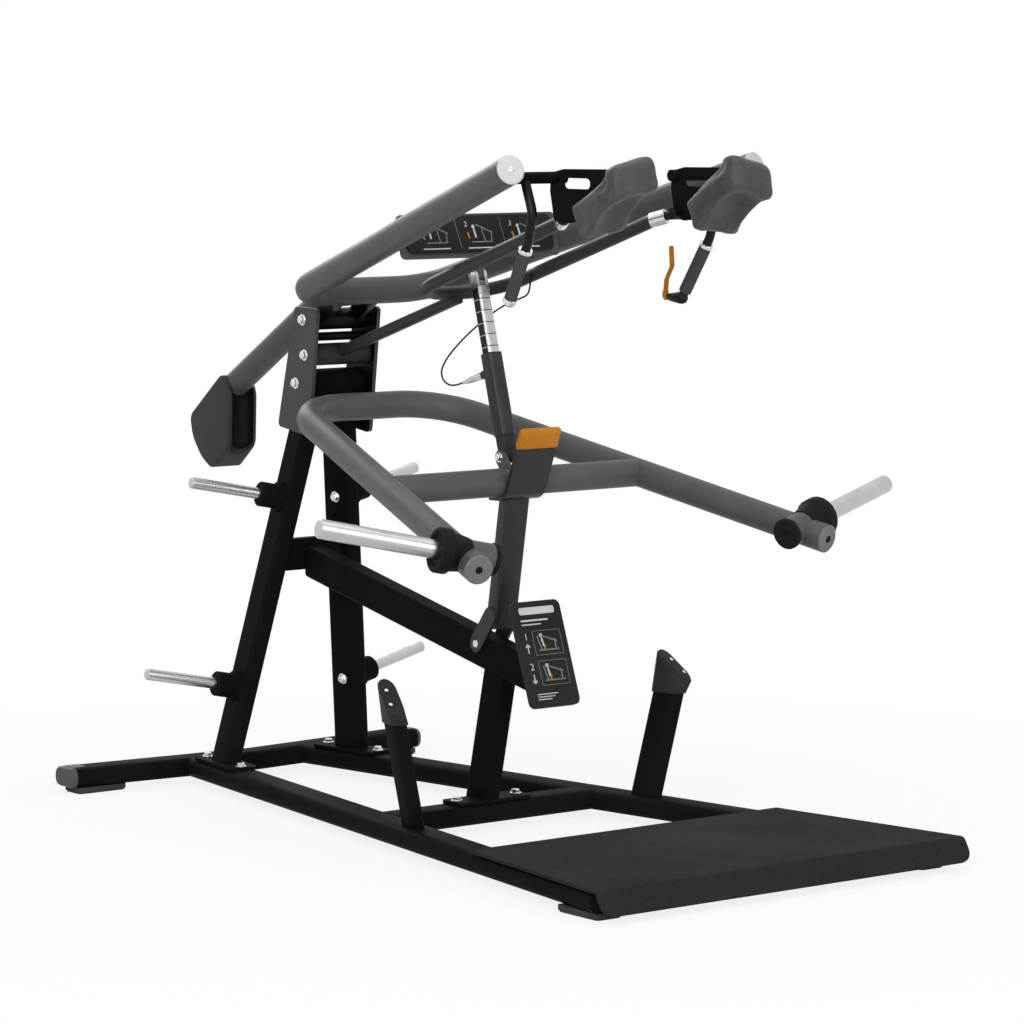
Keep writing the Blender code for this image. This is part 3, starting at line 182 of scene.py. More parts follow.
@contextmanager
def editing(piece: bpy.types.Object) -> Iterator[bmesh.types.BMesh]:
    """Open a piece in edit mode, alone.

    Args:
        piece: Mesh object to edit.

    Returns:
        The edit mesh, for selecting by place or normal.
    """
    clear_selection()
    bpy.context.view_layer.objects.active = piece
    piece.select_set(True)
    bpy.ops.object.mode_set(mode="EDIT")
    try:
        yield bmesh.from_edit_mesh(piece.data)
    finally:
        bpy.ops.object.mode_set(mode="OBJECT")
        clear_selection()


def tidy_shell(piece: bpy.types.Object) -> None:
    """Merge doubled points and turn every face outwards.

    Args:
        piece: Mesh object to work on.
    """
    with editing(piece):
        bpy.ops.mesh.select_all(action="SELECT")
        bpy.ops.mesh.remove_doubles(threshold=1e-6)
        bpy.ops.mesh.normals_make_consistent(inside=False)


def lathe(name: str, profile: Profile, steps: int = 32) -> bpy.types.Object:
    """Turn a profile about Z, as on a lathe.

    Args:
        name: Name of the new piece.
        profile: (radius, height) pairs; ends at radius 0 close the shape.
        steps: Number of facets round the axis.

    Returns:
        The turned piece, at the origin.
    """
    clear_selection()
    bpy.ops.mesh.primitive_plane_add(size=0.001)
    piece = bpy.context.object
    piece.name = name
    with editing(piece):
        bpy.ops.mesh.select_all(action="SELECT")
        bpy.ops.mesh.merge(type="CENTER")
        radius, height = profile[0]
        bpy.ops.transform.translate(value=(radius, 0, height))
        for (r0, h0), (r1, h1) in zip(profile, profile[1:]):
            bpy.ops.mesh.extrude_region_move(TRANSFORM_OT_translate={"value": (r1 - r0, 0, h1 - h0)})
        bpy.ops.mesh.select_all(action="SELECT")
        bpy.ops.mesh.spin(steps=steps, angle=2 * math.pi, center=(0, 0, 0), axis=(0, 0, 1))
    tidy_shell(piece)
    return piece


def slab(name: str, width: float, height: float, thickness: float, corner: float) -> bpy.types.Object:
    """Plate with round corners, its back on the XY plane and its face at +Z.

    Args:
        name: Name of the new piece.
        width: Size along X.
        height: Size along Y.
        thickness: Size along Z.
        corner: Corner radius.

    Returns:
        The plate, at the origin.
    """
    clear_selection()
    bpy.ops.mesh.primitive_plane_add(size=1)
    piece = bpy.context.object
    piece.name = name
    with editing(piece):
        bpy.ops.mesh.select_all(action="SELECT")
        bpy.ops.transform.resize(value=(width, height, 1))
        bpy.ops.mesh.bevel(offset=corner, segments=5, affect="VERTICES")
        bpy.ops.mesh.select_all(action="SELECT")
        bpy.ops.mesh.extrude_region_move(TRANSFORM_OT_translate={"value": (0, 0, thickness)})
    tidy_shell(piece)
    return piece


def aim(axis: Vector, roll: float = 0.0) -> Matrix:
    """Rotation that turns +Z to an axis."""
    return axis.to_track_quat("Z", "Y").to_matrix().to_4x4() @ Matrix.Rotation(roll, 4, "Z")


def stand(piece: bpy.types.Object, origin: Vector, axis: Vector, roll: float = 0.0) -> bpy.types.Object:
    """Move a piece's mesh so that its foot is at origin and its +Z runs along axis."""
    piece.data.transform(Matrix.Translation(origin) @ aim(axis, roll))
    return piece


def join(name: str, pieces: Sequence[bpy.types.Object]) -> bpy.types.Object:
    """Join pieces into one object under a name.

    Args:
        name: Name to give.
        pieces: Objects to join.

    Returns:
        The joined piece.
    """
    clear_selection()
    for piece in pieces:
        piece.select_set(True)
    bpy.context.view_layer.objects.active = pieces[0]
    if len(pieces) > 1:
        bpy.ops.object.join()
    pieces[0].name = name
    return pieces[0]


def stamp(name: str, pattern: bpy.types.Object, places: Sequence[Place]) -> bpy.types.Object:
    """Copy a pattern to several places and remove the pattern.

    Args:
        name: Name of the joined piece.
        pattern: Piece modelled at the origin along +Z.
        places: (foot, axis) pairs.

    Returns:
        One piece with all the copies.
    """
    copies = []
    for origin, axis in places:
        copy = bpy.data.objects.new(name, pattern.data.copy())
        bpy.context.collection.objects.link(copy)
        copies.append(stand(copy, origin, axis))
    bpy.data.objects.remove(pattern)
    return join(name, copies)


def apply_modifier(piece: bpy.types.Object, kind: str, **settings: object) -> None:
    """Add a modifier with settings and apply it.

    Args:
        piece: Mesh object to work on.
        kind: Type of the modifier.
        settings: Values of the modifier, by name.
    """
    clear_selection()
    bpy.context.view_layer.objects.active = piece
    piece.select_set(True)
    modifier = piece.modifiers.new(kind.lower(), kind)
    for key, value in settings.items():
        setattr(modifier, key, value)
    bpy.ops.object.modifier_apply(modifier=modifier.name)
    clear_selection()


def smooth(piece: bpy.types.Object, angle: float = 35.0) -> None:
    """Shade a piece smooth, with edges sharper than an angle left crisp.

    Args:
        piece: Mesh object to work on.
        angle: Largest angle in degrees that is shaded smooth.
    """
    clear_selection()
    piece.select_set(True)
    bpy.context.view_layer.objects.active = piece
    bpy.ops.object.shade_smooth_by_angle(angle=math.radians(angle))
    clear_selection()


def dress(piece: bpy.types.Object, body: Body, finish: bpy.types.Material) -> bpy.types.Object:
    """Give a new piece its finish and the body that carries it.

    Args:
        piece: Mesh object to work on.
        body: Body that carries the piece.
        finish: Material of the piece.

    Returns:
        The same piece.
    """
    piece.data.materials.clear()
    piece.data.materials.append(finish)
    if "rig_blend" not in piece:
        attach(piece, body.value)
    log.info("%s rides on %s", piece.name, body.value)
    return piece


def surface(node: str, near: Vector) -> Place:
    """Nearest point on a CAD node's surface and the outward normal there.

    Args:
        node: Name of the CAD node.
        near: Point to search from.

    Returns:
        The point and its normal.
    """
    mesh = frame["nodes"][node].data
    tree = BVHTree.FromPolygons([vertex.co for vertex in mesh.vertices], [face.vertices for face in mesh.polygons])
    place, normal, _, _ = tree.find_nearest(near)
    return place, normal


def end_face(node: str, towards: Vector) -> Place:
    """Middle and normal of the largest flat face that a CAD node turns to a direction.

    Args:
        node: Name of the CAD node.
        towards: Rough direction of the face.

    Returns:
        The middle of the face's box and its outward normal.
    """
    mesh = frame["nodes"][node].data
    areas: dict[tuple[float, ...], float] = {}
    for face in mesh.polygons:
        if face.normal.dot(towards.normalized()) > 0.8:
            key = tuple(round(part, 2) for part in face.normal)
            areas[key] = areas.get(key, 0.0) + face.area
    normal = Vector(max(areas, key=areas.get)).normalized()
    facing = [face for face in mesh.polygons if face.normal.dot(normal) > 0.999]
    ends = [mesh.vertices[index].co for face in facing for index in face.vertices]
    low = Vector([min(point[i] for point in ends) for i in range(3)])
    high = Vector([max(point[i] for point in ends) for i in range(3)])
    return (low + high) / 2, facing[0].normal.copy()


def copy_of_node(name: str, node: str) -> bpy.types.Object:
    """New piece with a CAD node's mesh, its doubled points merged.

    Args:
        name: Name to give.
        node: Name of the CAD node.

    Returns:
        The new piece.
    """
    copy = bpy.data.objects.new(name, frame["nodes"][node].data.copy())
    bpy.context.collection.objects.link(copy)
    with editing(copy):
        bpy.ops.mesh.select_all(action="SELECT")
        bpy.ops.mesh.customdata_custom_splitnormals_clear()
        bpy.ops.mesh.remove_doubles(threshold=1e-5)
        bpy.ops.mesh.normals_make_consistent(inside=False)
    return copy


# Finishes

@dataclass(frozen=True)
class Groove:
    """Upright half-round groove in a front face."""

    station: float
    radius: float
    foot: float
    length: float


class NodeSketch:
    """Lays the shader nodes of one new material."""

    def __init__(self, name: str) -> None:
        """Start a new material and take its coordinates.

        Args:
            name: Name to give.
        """
        self.material = bpy.data.materials.new(name)
        self.material.use_nodes = True
        self.tree = self.material.node_tree
        self.shader = self.tree.nodes["Principled BSDF"]
        self.coords = self.tree.nodes.new("ShaderNodeTexCoord").outputs["Object"]

    def constant(self, socket: str, value: object) -> None:
        """Set a value that is the same all over on the shader's own socket."""
        self.shader.inputs[socket].default_value = value

    def feed(self, socket: str, source: bpy.types.NodeSocket) -> None:
        """Link a source to one of the shader's sockets."""
        self.tree.links.new(source, self.shader.inputs[socket])

    def stretched(self, scale: Point) -> bpy.types.NodeSocket:
        """Object coordinates, stretched along the axes.

        Args:
            scale: Scale of the result.

        Returns:
            Vector socket.
        """
        mapping = self.tree.nodes.new("ShaderNodeMapping")
        mapping.inputs["Scale"].default_value = scale
        self.tree.links.new(self.coords, mapping.inputs["Vector"])
        return mapping.outputs["Vector"]

    def noise(self, scale: float, detail: float = 3.0, rough: float = 0.5,
              stretch: Point = (1, 1, 1)) -> bpy.types.NodeSocket:
        """Noise value of a scale in cells per metre.

        Args:
            scale: Scale of the result.
            detail: Octaves of the noise.
            rough: Weight of the finer octaves.
            stretch: Scale along each axis.

        Returns:
            Value socket.
        """
        node = self.tree.nodes.new("ShaderNodeTexNoise")
        node.inputs["Scale"].default_value = scale
        node.inputs["Detail"].default_value = detail
        node.inputs["Roughness"].default_value = rough
        self.tree.links.new(self.stretched(stretch), node.inputs["Vector"])
        return node.outputs["Fac"]

    def cells(self, scale: float, feature: str = "F1") -> bpy.types.NodeSocket:
        """Distance value of a cell pattern.

        Args:
            scale: Scale of the result.
            feature: Kind of cell distance.

        Returns:
            Value socket.
        """
        node = self.tree.nodes.new("ShaderNodeTexVoronoi")
        node.feature = feature
        node.inputs["Scale"].default_value = scale
        self.tree.links.new(self.coords, node.inputs["Vector"])
        return node.outputs["Distance"]

    def span(self, source: bpy.types.NodeSocket, low: float, high: float,
             to_low: float, to_high: float) -> bpy.types.NodeSocket:
        """Source mapped from one range to another, held at its ends.

        Args:
            source: Socket to read.
            low: Lower end of the source.
            high: Upper end of the source.
            to_low: Result at the lower end.
            to_high: Result at the upper end.

        Returns:
            Value socket.
        """
        node = self.tree.nodes.new("ShaderNodeMapRange")
        node.interpolation_type = "SMOOTHSTEP"
        for socket, value in (("From Min", low), ("From Max", high), ("To Min", to_low), ("To Max", to_high)):
            node.inputs[socket].default_value = value
        self.tree.links.new(source, node.inputs["Value"])
        return node.outputs["Result"]

    def calc(self, operation: str, first: bpy.types.NodeSocket,
             second: "bpy.types.NodeSocket | float") -> bpy.types.NodeSocket:
        """Sum, product or other operation of a source with a source or number.

        Args:
            operation: Name of the operation.
            first: First input.
            second: Second input.

        Returns:
            Value socket.
        """
        node = self.tree.nodes.new("ShaderNodeMath")
        node.operation = operation
        self.tree.links.new(first, node.inputs[0])
        if isinstance(second, (int, float)):
            node.inputs[1].default_value = second
        else:
            self.tree.links.new(second, node.inputs[1])
        return node.outputs["Value"]

    def mix(self, factor: bpy.types.NodeSocket, first: "Colour | bpy.types.NodeSocket",
            second: "Colour | bpy.types.NodeSocket") -> bpy.types.NodeSocket:
        """Colour between two colours.

        Args:
            factor: Share of the second colour.
            first: First input.
            second: Second input.

        Returns:
            Colour socket.
        """
        node = self.tree.nodes.new("ShaderNodeMix")
        node.data_type = "RGBA"
        self.tree.links.new(factor, node.inputs["Factor"])
        for index, value in ((6, first), (7, second)):
            if isinstance(value, tuple):
                node.inputs[index].default_value = linear(value)
            else:
                self.tree.links.new(value, node.inputs[index])
        return node.outputs[2]

    def shade_between_plates(self, half_width: float, top: float) -> bpy.types.NodeSocket:
        """Mask of the pivots' space between the lever's side plates, where shade is painted.

        Args:
            half_width: Half the space between the plates.
            top: Height of the space's top.

        Returns:
            Mask socket.
        """
        parts = self.tree.nodes.new("ShaderNodeSeparateXYZ")
        self.tree.links.new(self.coords, parts.inputs["Vector"])
        across = self.calc("LESS_THAN", self.calc("ABSOLUTE", parts.outputs["X"], 0.0), half_width)
        behind = self.calc("GREATER_THAN", parts.outputs["Y"], PIVOT_FRONT_STATION + STATION_SHIFT)
        low = self.calc("LESS_THAN", parts.outputs["Z"], top)
        return self.calc("MULTIPLY", self.calc("MULTIPLY", across, behind), low)

    def shade_in_groove(self, groove: Groove) -> bpy.types.NodeSocket:
        """Mask of the places inside an upright round groove, where shade is painted.

        Args:
            groove: Groove to mask.

        Returns:
            Mask socket.
        """
        parts = self.tree.nodes.new("ShaderNodeSeparateXYZ")
        self.tree.links.new(self.coords, parts.inputs["Vector"])
        deep = self.calc("SUBTRACT", parts.outputs["Y"], groove.station + STATION_SHIFT)
        wide = self.calc("MULTIPLY", parts.outputs["X"], parts.outputs["X"])
        squared = self.calc("ADD", wide, self.calc("MULTIPLY", deep, deep))
        return self.calc("LESS_THAN", squared, (groove.radius * 1.02) ** 2)

    def rounded_normal(self, radius: float) -> bpy.types.NodeSocket:
        """Normal that is rounded over near hard edges.

        Args:
            radius: Radius in metres.

        Returns:
            Normal socket.
        """
        node = self.tree.nodes.new("ShaderNodeBevel")
        node.samples = 4
        node.inputs["Radius"].default_value = radius
        return node.outputs["Normal"]

    def edges(self, rounded: bpy.types.NodeSocket) -> bpy.types.NodeSocket:
        """Mask of the places near hard edges.

        Args:
            rounded: Rounded normal.

        Returns:
            Mask socket.
        """
        geometry = self.tree.nodes.new("ShaderNodeNewGeometry")
        node = self.tree.nodes.new("ShaderNodeVectorMath")
        node.operation = "DOT_PRODUCT"
        self.tree.links.new(rounded, node.inputs[0])
        self.tree.links.new(geometry.outputs["Normal"], node.inputs[1])
        return self.span(node.outputs["Value"], 0.985, 0.80, 0.0, 1.0)

    def bump(self, height: bpy.types.NodeSocket, strength: float, distance: float,
             normal: "bpy.types.NodeSocket | None" = None) -> bpy.types.NodeSocket:
        """Normal with fine relief.

        Args:
            height: Height in metres, or the relief's socket.
            strength: Share of the relief.
            distance: Depth of the relief.
            normal: Normal to start from.

        Returns:
            Normal socket.
        """
        node = self.tree.nodes.new("ShaderNodeBump")
        node.inputs["Strength"].default_value = strength
        node.inputs["Distance"].default_value = distance
        self.tree.links.new(height, node.inputs["Height"])
        if normal is not None:
            self.tree.links.new(normal, node.inputs["Normal"])
        return node.outputs["Normal"]


@dataclass(frozen=True)
class PowderCoat:
    """Baked powder paint: fine orange peel, cloudy gloss and rubbed edges, with painted shade between the lever's
    plates where asked.
    """

    name: str
    dark: Colour
    light: Colour
    rubbed: Colour
    roughness: float
    metallic: float = 0.0
    specular: float = 0.35
    peel: float = 0.10
    rub: float = 0.5
    round_over: float = 0.002
    # Half width and top of the space between the lever's plates that is painted near-black as shade; nought paints
    # none.
    painted_shade_within: float = 0.0
    painted_shade_below: float = 9.0

    def make(self) -> bpy.types.Material:
        """Material of this paint.

        Returns:
            The material.
        """
        sketch = NodeSketch(self.name)
        cloud = sketch.noise(3.5, 4.0, 0.6)
        grain = sketch.noise(260.0, 2.0)
        rounded = sketch.rounded_normal(self.round_over)
        scuff = sketch.span(sketch.noise(42.0, 5.0, 0.65), 0.42, 0.66, 0.0, self.rub)
        worn = sketch.calc("MULTIPLY", sketch.edges(rounded), scuff)
        tone = sketch.mix(sketch.span(cloud, 0.3, 0.7, 0.0, 1.0), self.dark, self.light)
        painted = sketch.mix(worn, tone, self.rubbed)
        # Painted shade: near-black over the space between the lever's side plates, where shade falls.
        if self.painted_shade_within:
            painted = sketch.mix(sketch.shade_between_plates(self.painted_shade_within, self.painted_shade_below), painted, PAINTED_SHADE)
        sketch.feed("Base Color", painted)
        haze = sketch.calc("ADD", sketch.span(cloud, 0.3, 0.7, -0.05, 0.05),
                           sketch.span(grain, 0.3, 0.7, -0.03, 0.03))
        sketch.feed("Roughness", sketch.calc("ADD", haze, self.roughness))
        sketch.constant("Metallic", self.metallic)
        sketch.constant("Specular IOR Level", self.specular)
        sketch.feed("Normal", sketch.bump(sketch.noise(520.0, 2.0), self.peel, 0.0006, rounded))
        return sketch.material


@dataclass(frozen=True)
class Moulding:
    """Moulded rubber or plastic: fine stipple and a soft sheen, with painted shade inside a groove where asked."""

    name: str
    dark: Colour
    light: Colour
    roughness: float
    specular: float = 0.3
    stipple: float = 0.18
    grain: float = 900.0
    round_over: float = 0.0015
    # Groove whose inside is painted near-black as shade.
    groove: "Groove | None" = None

    def make(self) -> bpy.types.Material:
        """Material of this moulding.

        Returns:
            The material.
        """
        sketch = NodeSketch(self.name)
        cloud = sketch.noise(9.0, 4.0, 0.6)
        rounded = sketch.rounded_normal(self.round_over)
        tone = sketch.mix(sketch.span(cloud, 0.3, 0.7, 0.0, 1.0), self.dark, self.light)
        dust = sketch.span(sketch.noise(60.0, 4.0, 0.7), 0.58, 0.75, 0.0, 0.25)
        moulded = sketch.mix(dust, tone, self.light)
        # Painted shade: near-black inside the groove, where shade falls.
        if self.groove:
            moulded = sketch.mix(sketch.shade_in_groove(self.groove), moulded, PAINTED_SHADE)
        sketch.feed("Base Color", moulded)
        sketch.feed("Roughness", sketch.span(cloud, 0.3, 0.7, self.roughness - 0.06, self.roughness + 0.06))
        sketch.constant("Specular IOR Level", self.specular)
        sketch.feed("Normal", sketch.bump(sketch.cells(self.grain), self.stipple, 0.0004, rounded))
        return sketch.material


@dataclass(frozen=True)
class BrightMetal:
    """Plated or polished steel with drawn lines and faint handling marks."""

    name: str
    dark: Colour
    light: Colour
    roughness: float
    lines: Point = (1, 1, 1)
    round_over: float = 0.0012

    def make(self) -> bpy.types.Material:
        """Material of this metal.

        Returns:
            The material.
        """
        sketch = NodeSketch(self.name)
        drawn = sketch.noise(420.0, 3.0, 0.6, self.lines)
        marks = sketch.noise(24.0, 5.0, 0.65)
        tone = sketch.mix(sketch.span(marks, 0.3, 0.7, 0.0, 1.0), self.dark, self.light)
        sketch.feed("Base Color", tone)
        haze = sketch.calc("ADD", sketch.span(marks, 0.3, 0.8, -0.02, 0.03),
                           sketch.span(drawn, 0.3, 0.7, -0.03, 0.03))
        sketch.feed("Roughness", sketch.calc("ADD", haze, self.roughness))
        sketch.constant("Metallic", 1.0)
        rounded = sketch.rounded_normal(self.round_over)
        sketch.feed("Normal", sketch.bump(drawn, 0.02, 0.0003, rounded))
        return sketch.material


@dataclass(frozen=True)
class GritCoating:
    """Rubbery anti-slip coating of the standing deck, sprayed on as fine grit."""

    name: str = "deck_grit"
    dark: Colour = (38, 38, 38)
    light: Colour = (49, 49, 49)
    dust: Colour = (58, 57, 56)

    def make(self) -> bpy.types.Material:
        """Material of the coating.

        Returns:
            The material.
        """
        sketch = NodeSketch(self.name)
        grit = sketch.cells(330.0)
        fine = sketch.noise(900.0, 2.0)
        patches = sketch.noise(4.0, 5.0, 0.6)
        tone = sketch.mix(sketch.span(grit, 0.1, 0.7, 0.0, 1.0), self.light, self.dark)
        rounded = sketch.rounded_normal(0.003)
        tread = sketch.calc("MULTIPLY", sketch.span(patches, 0.45, 0.72, 0.0, 0.2),
                            sketch.span(fine, 0.4, 0.6, 0.3, 1.0))
        worn = sketch.calc("MAXIMUM", tread, sketch.span(sketch.edges(rounded), 0.0, 1.0, 0.0, 0.4))
        sketch.feed("Base Color", sketch.mix(worn, tone, self.dust))
        sketch.feed("Roughness", sketch.span(patches, 0.3, 0.7, 0.92, 0.78))
        sketch.constant("Specular IOR Level", 0.05)
        relief = sketch.calc("ADD", sketch.span(grit, 0.0, 0.6, 1.0, 0.0), sketch.span(fine, 0.3, 0.7, 0.0, 0.5))
        sketch.feed("Normal", sketch.bump(relief, 0.45, 0.0009, rounded))
        return sketch.material


@dataclass(frozen=True)
class PadVinyl:
    """Matt upholstery skin with a leather-like grain and soft rubbing on its crown."""

    name: str = "pad_skin"
    dark: Colour = (52, 52, 53)
    light: Colour = (68, 68, 68)
    rubbed: Colour = (84, 83, 82)

    def make(self) -> bpy.types.Material:
        """Material of the pads' skin.

        Returns:
            The material.
        """
        sketch = NodeSketch(self.name)
        grain = sketch.cells(620.0, "SMOOTH_F1")
        crease = sketch.noise(95.0, 5.0, 0.6)
        cloud = sketch.noise(11.0, 3.0, 0.5)
        tone = sketch.mix(sketch.span(cloud, 0.3, 0.7, 0.0, 1.0), self.dark, self.light)
        rub = sketch.span(sketch.noise(30.0, 5.0, 0.7), 0.5, 0.75, 0.0, 0.4)
        sketch.feed("Base Color", sketch.mix(rub, tone, self.rubbed))
        sketch.feed("Roughness", sketch.span(crease, 0.3, 0.7, 0.60, 0.48))
        sketch.constant("Specular IOR Level", 0.35)
        sketch.constant("Sheen Weight", 0.06)
        sketch.constant("Sheen Roughness", 0.5)
        relief = sketch.calc("ADD", sketch.span(grain, 0.0, 0.6, 1.0, 0.0), sketch.span(crease, 0.35, 0.65, 0.0, 0.8))
        sketch.feed("Normal", sketch.bump(relief, 0.22, 0.0007))
        return sketch.material


@dataclass
class PaintShop:
    """Makes each finish once and paints the CAD nodes with it."""

    black: bpy.types.Material = None
    grey: bpy.types.Material = None
    plate: bpy.types.Material = None
    rubber: bpy.types.Material = None
    foot: bpy.types.Material = None
    stop: bpy.types.Material = None
    deck: bpy.types.Material = None
    skin: bpy.types.Material = None
    steel: bpy.types.Material = None
    chrome: bpy.types.Material = None
    pale: bpy.types.Material = None
    cap_grey: bpy.types.Material = None
    orange: bpy.types.Material = None
    board: bpy.types.Material = None
    print_white: bpy.types.Material = None
    print_grey: bpy.types.Material = None
    gloss_black: bpy.types.Material = None
    dark_grey: bpy.types.Material = None
    dark_cap: bpy.types.Material = None
    sleeve: bpy.types.Material = None
    grip: bpy.types.Material = None
    weight: bpy.types.Material = None
    hub_grey: bpy.types.Material = None

    def mix_all(self) -> None:
        """Make every finish."""
        self.black = PowderCoat("black_powder", (19, 18, 17), (26, 25, 24), (58, 57, 56), 0.54, specular=0.012).make()
        self.grey = PowderCoat("grey_powder", (78, 77, 77), (88, 86, 86), (126, 124, 122), 0.44, 0.12, 0.14,
                               peel=0.14, rub=0.35).make()
        self.dark_grey = PowderCoat("dark_grey_powder", (48, 47, 47), (56, 55, 55), (100, 98, 96), 0.44, 0.12, 0.14,
                                    peel=0.14, rub=0.35).make()
        # Side plates: near-black painted shade on their inner faces, between the plates where shade falls.
        self.plate = PowderCoat("plate_powder", (71, 67, 65), (80, 76, 74), (124, 120, 116), 0.44, 0.15, 0.12,
                                peel=0.14, painted_shade_within=0.0985).make()
        # Pad arm's hub and lugs: near-black painted shade where they sit between the lever's plates, below 1.392 m.
        self.hub_grey = PowderCoat("hub_grey_powder", (78, 77, 77), (88, 86, 86), (126, 124, 122), 0.44, 0.12, 0.14,
                                   peel=0.14, rub=0.35, painted_shade_within=0.0975, painted_shade_below=1.392).make()
        self.gloss_black = PowderCoat("gloss_black", (15, 15, 15), (21, 21, 21), (60, 60, 60), 0.32,
                                      specular=0.16).make()
        self.sleeve = PowderCoat("sleeve_black", (34, 34, 34), (44, 44, 44), (84, 84, 83), 0.36, specular=0.25).make()
        self.rubber = Moulding("black_rubber", (20, 20, 20), (30, 30, 30), 0.70, 0.08).make()
        self.stop = Moulding("stop_rubber", (38, 38, 38), (46, 46, 46), 0.62, 0.12).make()
        self.foot = Moulding("foot_rubber", (62, 62, 62), (72, 72, 71), 0.75, 0.08).make()
        self.grip = Moulding("grip_foam", (56, 56, 56), (68, 68, 68), 0.78, 0.2, stipple=0.3, grain=700.0).make()
        # Counterweight: near-black painted shade inside its groove.
        self.weight = Moulding("weight_skin", (53, 53, 53), (61, 61, 61), 0.55, 0.12, stipple=0.12,
                               groove=Counterweight.groove).make()
        self.deck = GritCoating().make()
        self.skin = PadVinyl().make()
        self.steel = BrightMetal("horn_steel", (184, 184, 181), (192, 192, 189), 0.28, (1, 6, 6)).make()
        self.chrome = BrightMetal("fastener_zinc", (196, 197, 197), (222, 222, 220), 0.22).make()
        self.pale = Moulding("pale_plastic", (188, 188, 187), (204, 204, 203), 0.45, stipple=0.08).make()
        self.cap_grey = Moulding("cap_plastic", (98, 98, 98), (114, 113, 113), 0.48, stipple=0.08).make()
        self.dark_cap = Moulding("dark_cap_plastic", (74, 74, 74), (86, 86, 85), 0.5, 0.15, stipple=0.08).make()
        self.orange = Moulding("orange_plastic", (178, 110, 14), (192, 124, 26), 0.46, 0.2, stipple=0.12).make()
        self.board = Moulding("placard_film", (24, 29, 27), (31, 36, 34), 0.40, 0.14, stipple=0.05).make()
        self.print_white = Moulding("print_white", (196, 198, 196), (214, 216, 214), 0.5, stipple=0.04).make()
        self.print_grey = Moulding("print_grey", (104, 112, 110), (122, 130, 127), 0.5, stipple=0.04).make()

    def of_slot(self, slot: str) -> bpy.types.Material:
        """Finish that stands for one of the record's material slots.

        Args:
            slot: Material slot of the record.

        Returns:
            The material.
        """
        return {
            "black_paint": self.black, "grey_paint": self.grey, "plate_paint": self.plate,
            "rubber": self.rubber, "deck_coating": self.deck, "pad_vinyl": self.skin,
            "bright_steel": self.steel, "pale_plastic": self.pale, "grey_plastic": self.cap_grey,
            "orange_plastic": self.orange, "placard_print": self.board,
        }[slot]

    def paint_frame(self) -> None:
        """Paint every CAD node by its own material slot."""
        special = {"horn_collar_left": self.rubber, "horn_collar_right": self.rubber,
                   "handle_left": self.gloss_black, "handle_right": self.gloss_black,
                   "bump_cap_left": self.stop, "bump_cap_right": self.stop, "rack_hook": self.sleeve,
                   "strut_sleeve": self.sleeve, "link_fork": self.dark_grey, "counterweight": self.weight,
                   "grip_left": self.grip, "grip_right": self.grip, "upper_arm": self.hub_grey,
                   "rear_end_cap_left": self.dark_cap, "rear_end_cap_right": self.dark_cap,
                   "front_foot_left": self.foot, "front_foot_right": self.foot,
                   "rear_foot_left": self.foot, "rear_foot_right": self.foot}
        for name, node in frame["nodes"].items():
            slot = node.material_slots[0]
            slot.material = special.get(name) or self.of_slot(slot.material.name.split(".")[0])
            log.info("%s painted %s", name, slot.material.name)


# Sub-assemblies

@dataclass
class RoundWork:
    """Tubes, horns and turned pieces, shown with smooth skins over the CAD's facets."""

    nodes: tuple[str, ...] = (
        "load_arm", "load_crossbar", "load_arm_cap_left", "load_arm_cap_right", "load_horn_left", "load_horn_right",
        "horn_collar_left", "horn_collar_right", "upper_arm", "upper_arm_cap_left", "upper_arm_cap_right",
        "counterweight_tube", "link_fork", "pivot_head",
        "handle_left", "handle_right", "grip_left", "grip_right", "carriage_bracket_left", "carriage_bracket_right",
        "storage_horn_lower_left", "storage_horn_lower_right", "storage_horn_upper_left", "storage_horn_upper_right",
        "tower_leg_left", "tower_leg_right", "rail_left", "rail_right", "rear_cross_tube", "mid_cross_tube",
        "rear_end_cap_left", "rear_end_cap_right", "bump_post_left", "bump_post_right", "bump_cap_left",
        "bump_cap_right", "strut_sleeve", "strut_rod", "rack_hook",
    )
    crisp_degrees: float = 33.0

    def build(self) -> None:
        """Lay a smooth skin over each round node."""
        for name in self.nodes:
            node = frame["nodes"][name]
            skin = copy_of_node(name + "_skin", name)
            smooth(skin, self.crisp_degrees)
            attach(skin, body_of(node)[0])
            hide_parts(name)
            log.info("%s stands for %s", skin.name, name)


